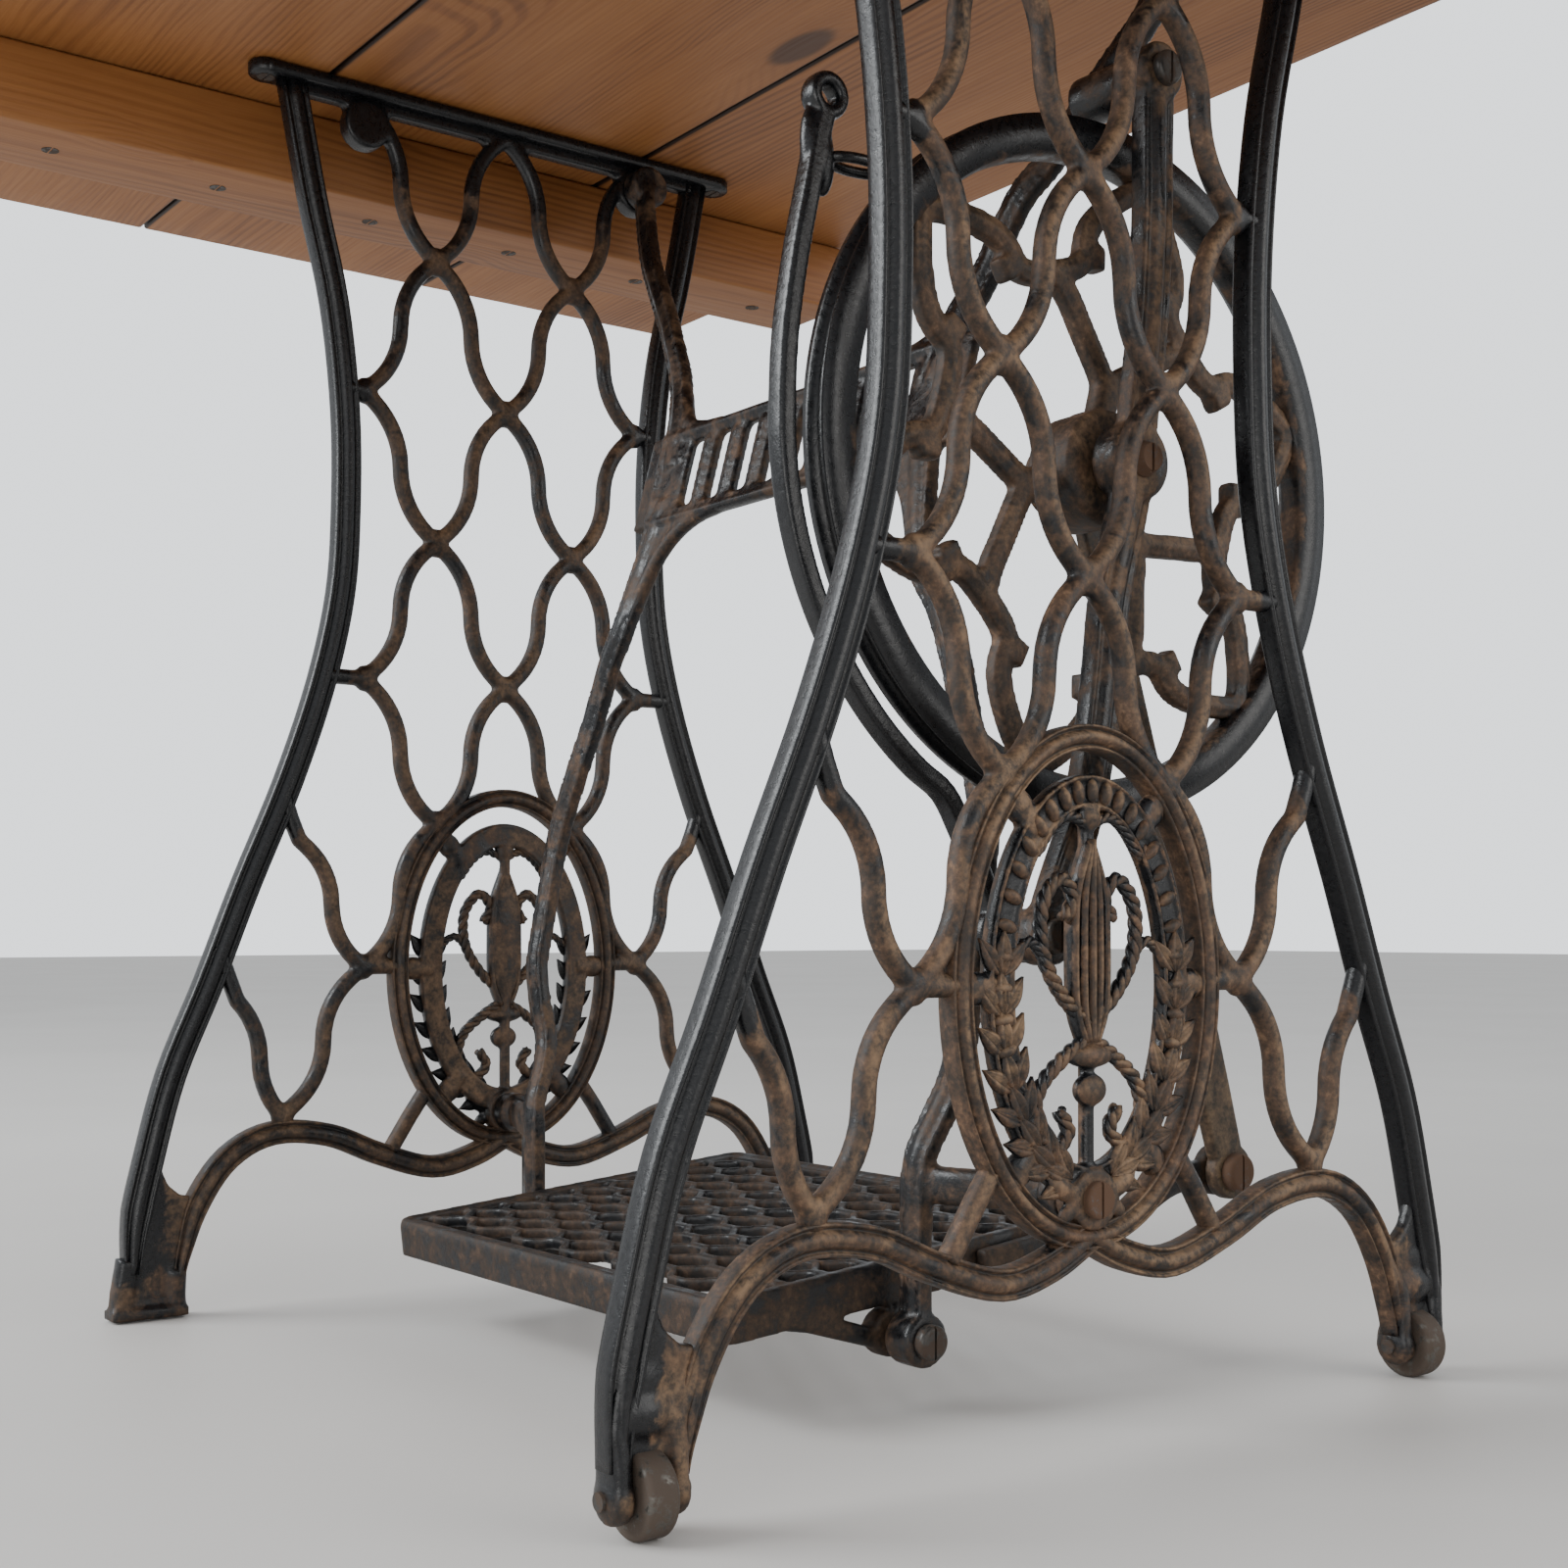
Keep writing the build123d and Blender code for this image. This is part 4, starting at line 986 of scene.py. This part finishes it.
def guard_section():
    """Bar with a shallow groove along its outer side."""
    return [(-4.2, -4.0), (-3.0, -5.2), (2.6, -5.3), (4.2, -4.4), (4.3, -2.6), (3.2, 0.0), (4.3, 2.6),
            (4.2, 4.4), (2.6, 5.3), (-3.0, 5.2), (-4.2, 4.0), (-4.4, 0.0)]


def belt_guide():
    """Wire loop behind the guard's head."""
    cast = Cast()
    loop = []
    for i in range(40):
        angle = 2 * pi * i / 40
        loop.append((GUARD_X + 6.6 * cos(angle), -80 + 14.4 * sin(angle), 532.5))
    cast.sweep(loop, rounded(4.4, 4.6, steps=12), up=UPWARD, closed=True)
    obj = plain(cast, "belt_loop")
    finish_piece(obj, guard_metal, "guard_iron", "table", "belt_guide")


# ---- treadle and pitman
TILT = radians(5.5)
DECK_Z = 67.0


def deck(x, along, drop=0.0):
    """Point of the tilted foot plate, measured from its pivot line."""
    return (x, PIVOT_Y + along * cos(TILT) + drop * sin(TILT),
            DECK_Z + along * sin(TILT) - drop * cos(TILT))


def treadle():
    """Foot plate of wavy bars in a rim, hung from two pivots."""
    cast = Cast()
    half = 149.2
    front = -90.2
    back = 127.2
    tilted_up = (0, -sin(TILT), cos(TILT))
    corner = 5.0
    line = []
    for cx, cy, start in ((half - corner, back - corner, 0), (-half + corner, back - corner, 90),
                          (-half + corner, front + corner, 180), (half - corner, front + corner, 270)):
        for step in range(5):
            angle = radians(start + 22.5 * step)
            line.append(deck(cx + corner * cos(angle), cy + corner * sin(angle), 9.6))
    section = [(-5.6, -10), (5.6, -10), (5.8, 6), (4.6, 9.4), (2.4, 10.0), (0.5, 8.6), (-5.4, 8.4)]
    cast.sweep(line, [(-a, b) for a, b in section], up=tilted_up, closed=True)
    # wavy bars that meet their neighbours at every crest
    rows = 17
    waves = 6
    steps = waves * 16
    reach = 144.0
    spacing = 205 / (rows + 1)
    swing = spacing / 2 - 1.0
    for row in range(1, rows + 1):
        path = []
        for i in range(steps + 1):
            phase = 2 * pi * waves * i / steps + pi * row
            bent = min(max(1.5 * cos(phase), -1), 1)
            path.append(deck(-reach + 2 * reach * i / steps, -84 + spacing * row + swing * bent, 3.4))
        cast.sweep(path, rounded(3.7, 6.4, 5, steps=12), up=tilted_up)
    # hangers with the pivot's eyes
    for x in (-half, half):
        path = [(x, -106, 50), (x, -70, 43.5), (x, -31, 31.5), (x, -25, 34), (x, -19, 46), (x, -12, 60)]
        cast.sweep(path, rounded(9.4, 11.4, 4))
        cast.disc((x, PIVOT_Y, PIVOT_Z), 10.8, 11.6)
    obj = melt(cast, "treadle_plate", 1.25, 2)
    finish_piece(obj, treadle_metal, "treadle_iron", "treadle", "treadle")


def treadle_arm():
    cast = Cast()
    line = [(24, 60.5), (60, 65), (96, 69.5), (124, 78), (150, 89), ARM_EYE]
    cast.sweep(in_plane(flowing(line, 5), 159), rounded(13.6, 7.6, 5))
    cast.disc((159, *ARM_EYE), 12.8, 7.6)
    obj = melt(cast, "arm", 1.0, 2)
    finish_piece(obj, treadle_metal, "treadle_iron", "treadle", "treadle_arm")


def pitman():
    """Flat bar from the treadle arm up to the crank pin, with an eye at each end."""
    low = np.array(ARM_EYE)
    turn = radians(CRANK_ANGLE)
    top = np.array([AXLE_Y + CRANK_THROW * cos(turn), AXLE_Z + CRANK_THROW * sin(turn)])
    cast = Cast()
    shares = [0.03, 0.12, 0.3, 0.55, 0.8, 0.97]
    widths = [21.0, 22.6, 23.4, 20.5, 17.6, 16.0]
    path = [(PITMAN_X, *(low + (top - low) * share)) for share in shares]
    cast.sweep(path, rounded(1.0, 7.4, 6), sizes=widths)
    cast.disc((PITMAN_X, *low), 13.8, 7.8)
    cast.sweep(circle(PITMAN_X, top, 11.9, 48), rounded(5.6, 7.8, 5), closed=True)
    obj = melt(cast, "pitman_bar", 1.0, 2)
    finish_piece(obj, pitman_metal, "pitman_iron", "pitman", "pitman_rod")


# ---- wooden top
def board(name, low, high, material, slot, node, seed):
    """Sawn board with eased, slightly uneven edges."""
    mesh = bpy.data.meshes.new(name)
    made = bmesh.new()
    bmesh.ops.create_cube(made, size=1.0)
    for vertex in made.verts:
        vertex.co = Vector([(a + b) / 2 + c * (b - a) for a, b, c in zip(low, high, vertex.co)])
    bmesh.ops.bevel(made, geom=list(made.edges), offset=2.0, segments=3, profile=0.5, affect="EDGES")
    long_edges = [e for e in made.edges if e.calc_length() > 120]
    bmesh.ops.subdivide_edges(made, edges=long_edges, cuts=40, use_grid_fill=True)
    middle = Vector([(a + b) / 2 for a, b in zip(low, high)])
    for vertex in made.verts:
        dent = noise.noise(vertex.co * 0.012 + Vector((seed, 0, 0))) * 0.5 + 0.5
        chip = noise.noise(vertex.co * 0.09 + Vector((0, seed, 0))) * 0.5 + 0.5
        inward = middle - vertex.co
        for axis in (1, 2):
            near = min(vertex.co[axis] - low[axis], high[axis] - vertex.co[axis])
            if near < 2.0:
                shift = 0.35 * dent + 0.3 * chip * chip
                vertex.co[axis] += shift if inward[axis] > 0 else -shift
    made.to_mesh(mesh)
    made.free()
    mesh.transform(Matrix.Scale(MM, 4))
    finish_piece(add_object(name, smooth(mesh)), material, slot, "table", node)


def add_top():
    """Three boards lengthwise and two battens under them."""
    half_length = 565.0
    gap = 0.6
    shifts = [(0.31, 0.262, 0.010), (1.73, 0.045, 0.000), (2.91, -0.175, 0.006)]
    for i, name in enumerate(("front", "middle", "rear")):
        low = (-half_length, BOARD_EDGES[i] + (gap if i else 0), RAIL_TOP)
        high = (half_length, BOARD_EDGES[i + 1] - (gap if i < 2 else 0), BOARD_TOP)
        grain = wood("board_wood_" + name, shifts[i], 0.82)
        board("board_" + name, low, high, grain, "top_wood", "plank_" + name, 3.1 * i)
    for name, side in (("left", -1), ("right", 1)):
        near, far = sorted((side * 302.0, side * 372.0))
        grain = wood("batten_wood_" + name, (0.4 * side, -0.33 * side, 0.03), 0.76, turned=True)
        board("batten_" + name, (near, -305, 665), (far, 305, RAIL_TOP), grain, "cleat_wood",
              "cleat_" + name, 11.0 + side)


add_frames()
back_brace()
flywheel()
wheel_bracket()
dress_guard()
belt_guide()
treadle()
treadle_arm()
pitman()
add_top()

crank_metal = iron("crank_metal", 0.4, use_paint=False)
for material, nodes in (
        (dark_steel, ("cleat_screws", "rail_screws", "brace_bolts", "bracket_bolts", "pivot_screws",
                      "caster_pins")),
        (rusty_steel, ("medallion_bolts", "wheel_axle", "crank_pin", "crank_pin_nut", "pitman_bolt")),
        (caster_steel, ("caster_wheel_front", "caster_wheel_rear")),
        (crank_metal, ("crank",)),
        (dull_brass, ("pitman_bush",))):
    for node in nodes:
        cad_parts[node].data.materials.clear()
        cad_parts[node].data.materials.append(material)


# ---- floor, light and camera
def add_floor():
    mesh = bpy.data.meshes.new("floor")
    size = 14.0
    corners = [(-size, -size, 0), (size, -size, 0), (size, size, 0), (-size, size, 0)]
    mesh.from_pydata(corners, [], [(0, 1, 2, 3)])
    floor = add_object("floor", mesh)
    g = Graph("floor_paint")
    place = g.coordinates()
    tone = g.noise(place, 2.0, 3.0)
    pale = g.ramp(tone, [(0.3, (0.56, 0.54, 0.515)), (0.7, (0.60, 0.58, 0.555))])
    g.set("Base Color", pale)
    g.set("Roughness", 0.55)
    mesh.materials.append(g.material)


def add_light(name, place, target, size, power, colour):
    data = bpy.data.lights.new(name, "AREA")
    data.shape = "RECTANGLE"
    data.size = size[0]
    data.size_y = size[1]
    data.energy = power
    data.color = colour
    lamp = add_object(name, data)
    lamp.location = place
    lamp.rotation_euler = (Vector(target) - Vector(place)).to_track_quat("-Z", "Y").to_euler()


def add_camera():
    data = bpy.data.cameras.new("photo_camera")
    data.sensor_width = 36.0
    data.lens = 46.47
    data.shift_x = 0.0014
    data.shift_y = 0.082
    data.clip_start = 0.01
    camera = add_object("photo_camera", data)
    camera.location = (0.8537, -0.6050, 0.2157)
    turn = Vector((-0.8036, 0.5952, 0.0072)).to_track_quat("-Z", "Y")
    camera.rotation_euler = turn.to_euler()
    bpy.context.scene.camera = camera


def add_world():
    """Even sky that looks brighter than the light it gives."""
    world = bpy.data.worlds.new("studio")
    bpy.context.scene.world = world
    world.use_nodes = True
    tree = world.node_tree
    backdrop = tree.nodes["Background"]
    backdrop.inputs["Color"].default_value = (0.86, 0.89, 0.92, 1.0)
    seen = tree.nodes.new("ShaderNodeLightPath")
    strength = tree.nodes.new("ShaderNodeMapRange")
    strength.inputs["To Min"].default_value = 1.0
    strength.inputs["To Max"].default_value = 1.9
    tree.links.new(seen.outputs["Is Camera Ray"], strength.inputs["Value"])
    tree.links.new(strength.outputs["Result"], backdrop.inputs["Strength"])


add_world()
add_floor()
add_light("window", (-1.2, -2.6, 1.9), (0.0, 0.0, 0.35), (2.0, 1.6), 120, (0.95, 0.98, 1.0))
add_light("fill", (2.6, 1.2, 1.2), (0.0, 0.0, 0.4), (2.0, 1.6), 30, (1.0, 0.97, 0.93))
add_light("low_fill", (1.5, -1.8, 0.35), (0.0, 0.0, 0.6), (1.4, 0.6), 12, (1.0, 0.98, 0.95))
add_camera()
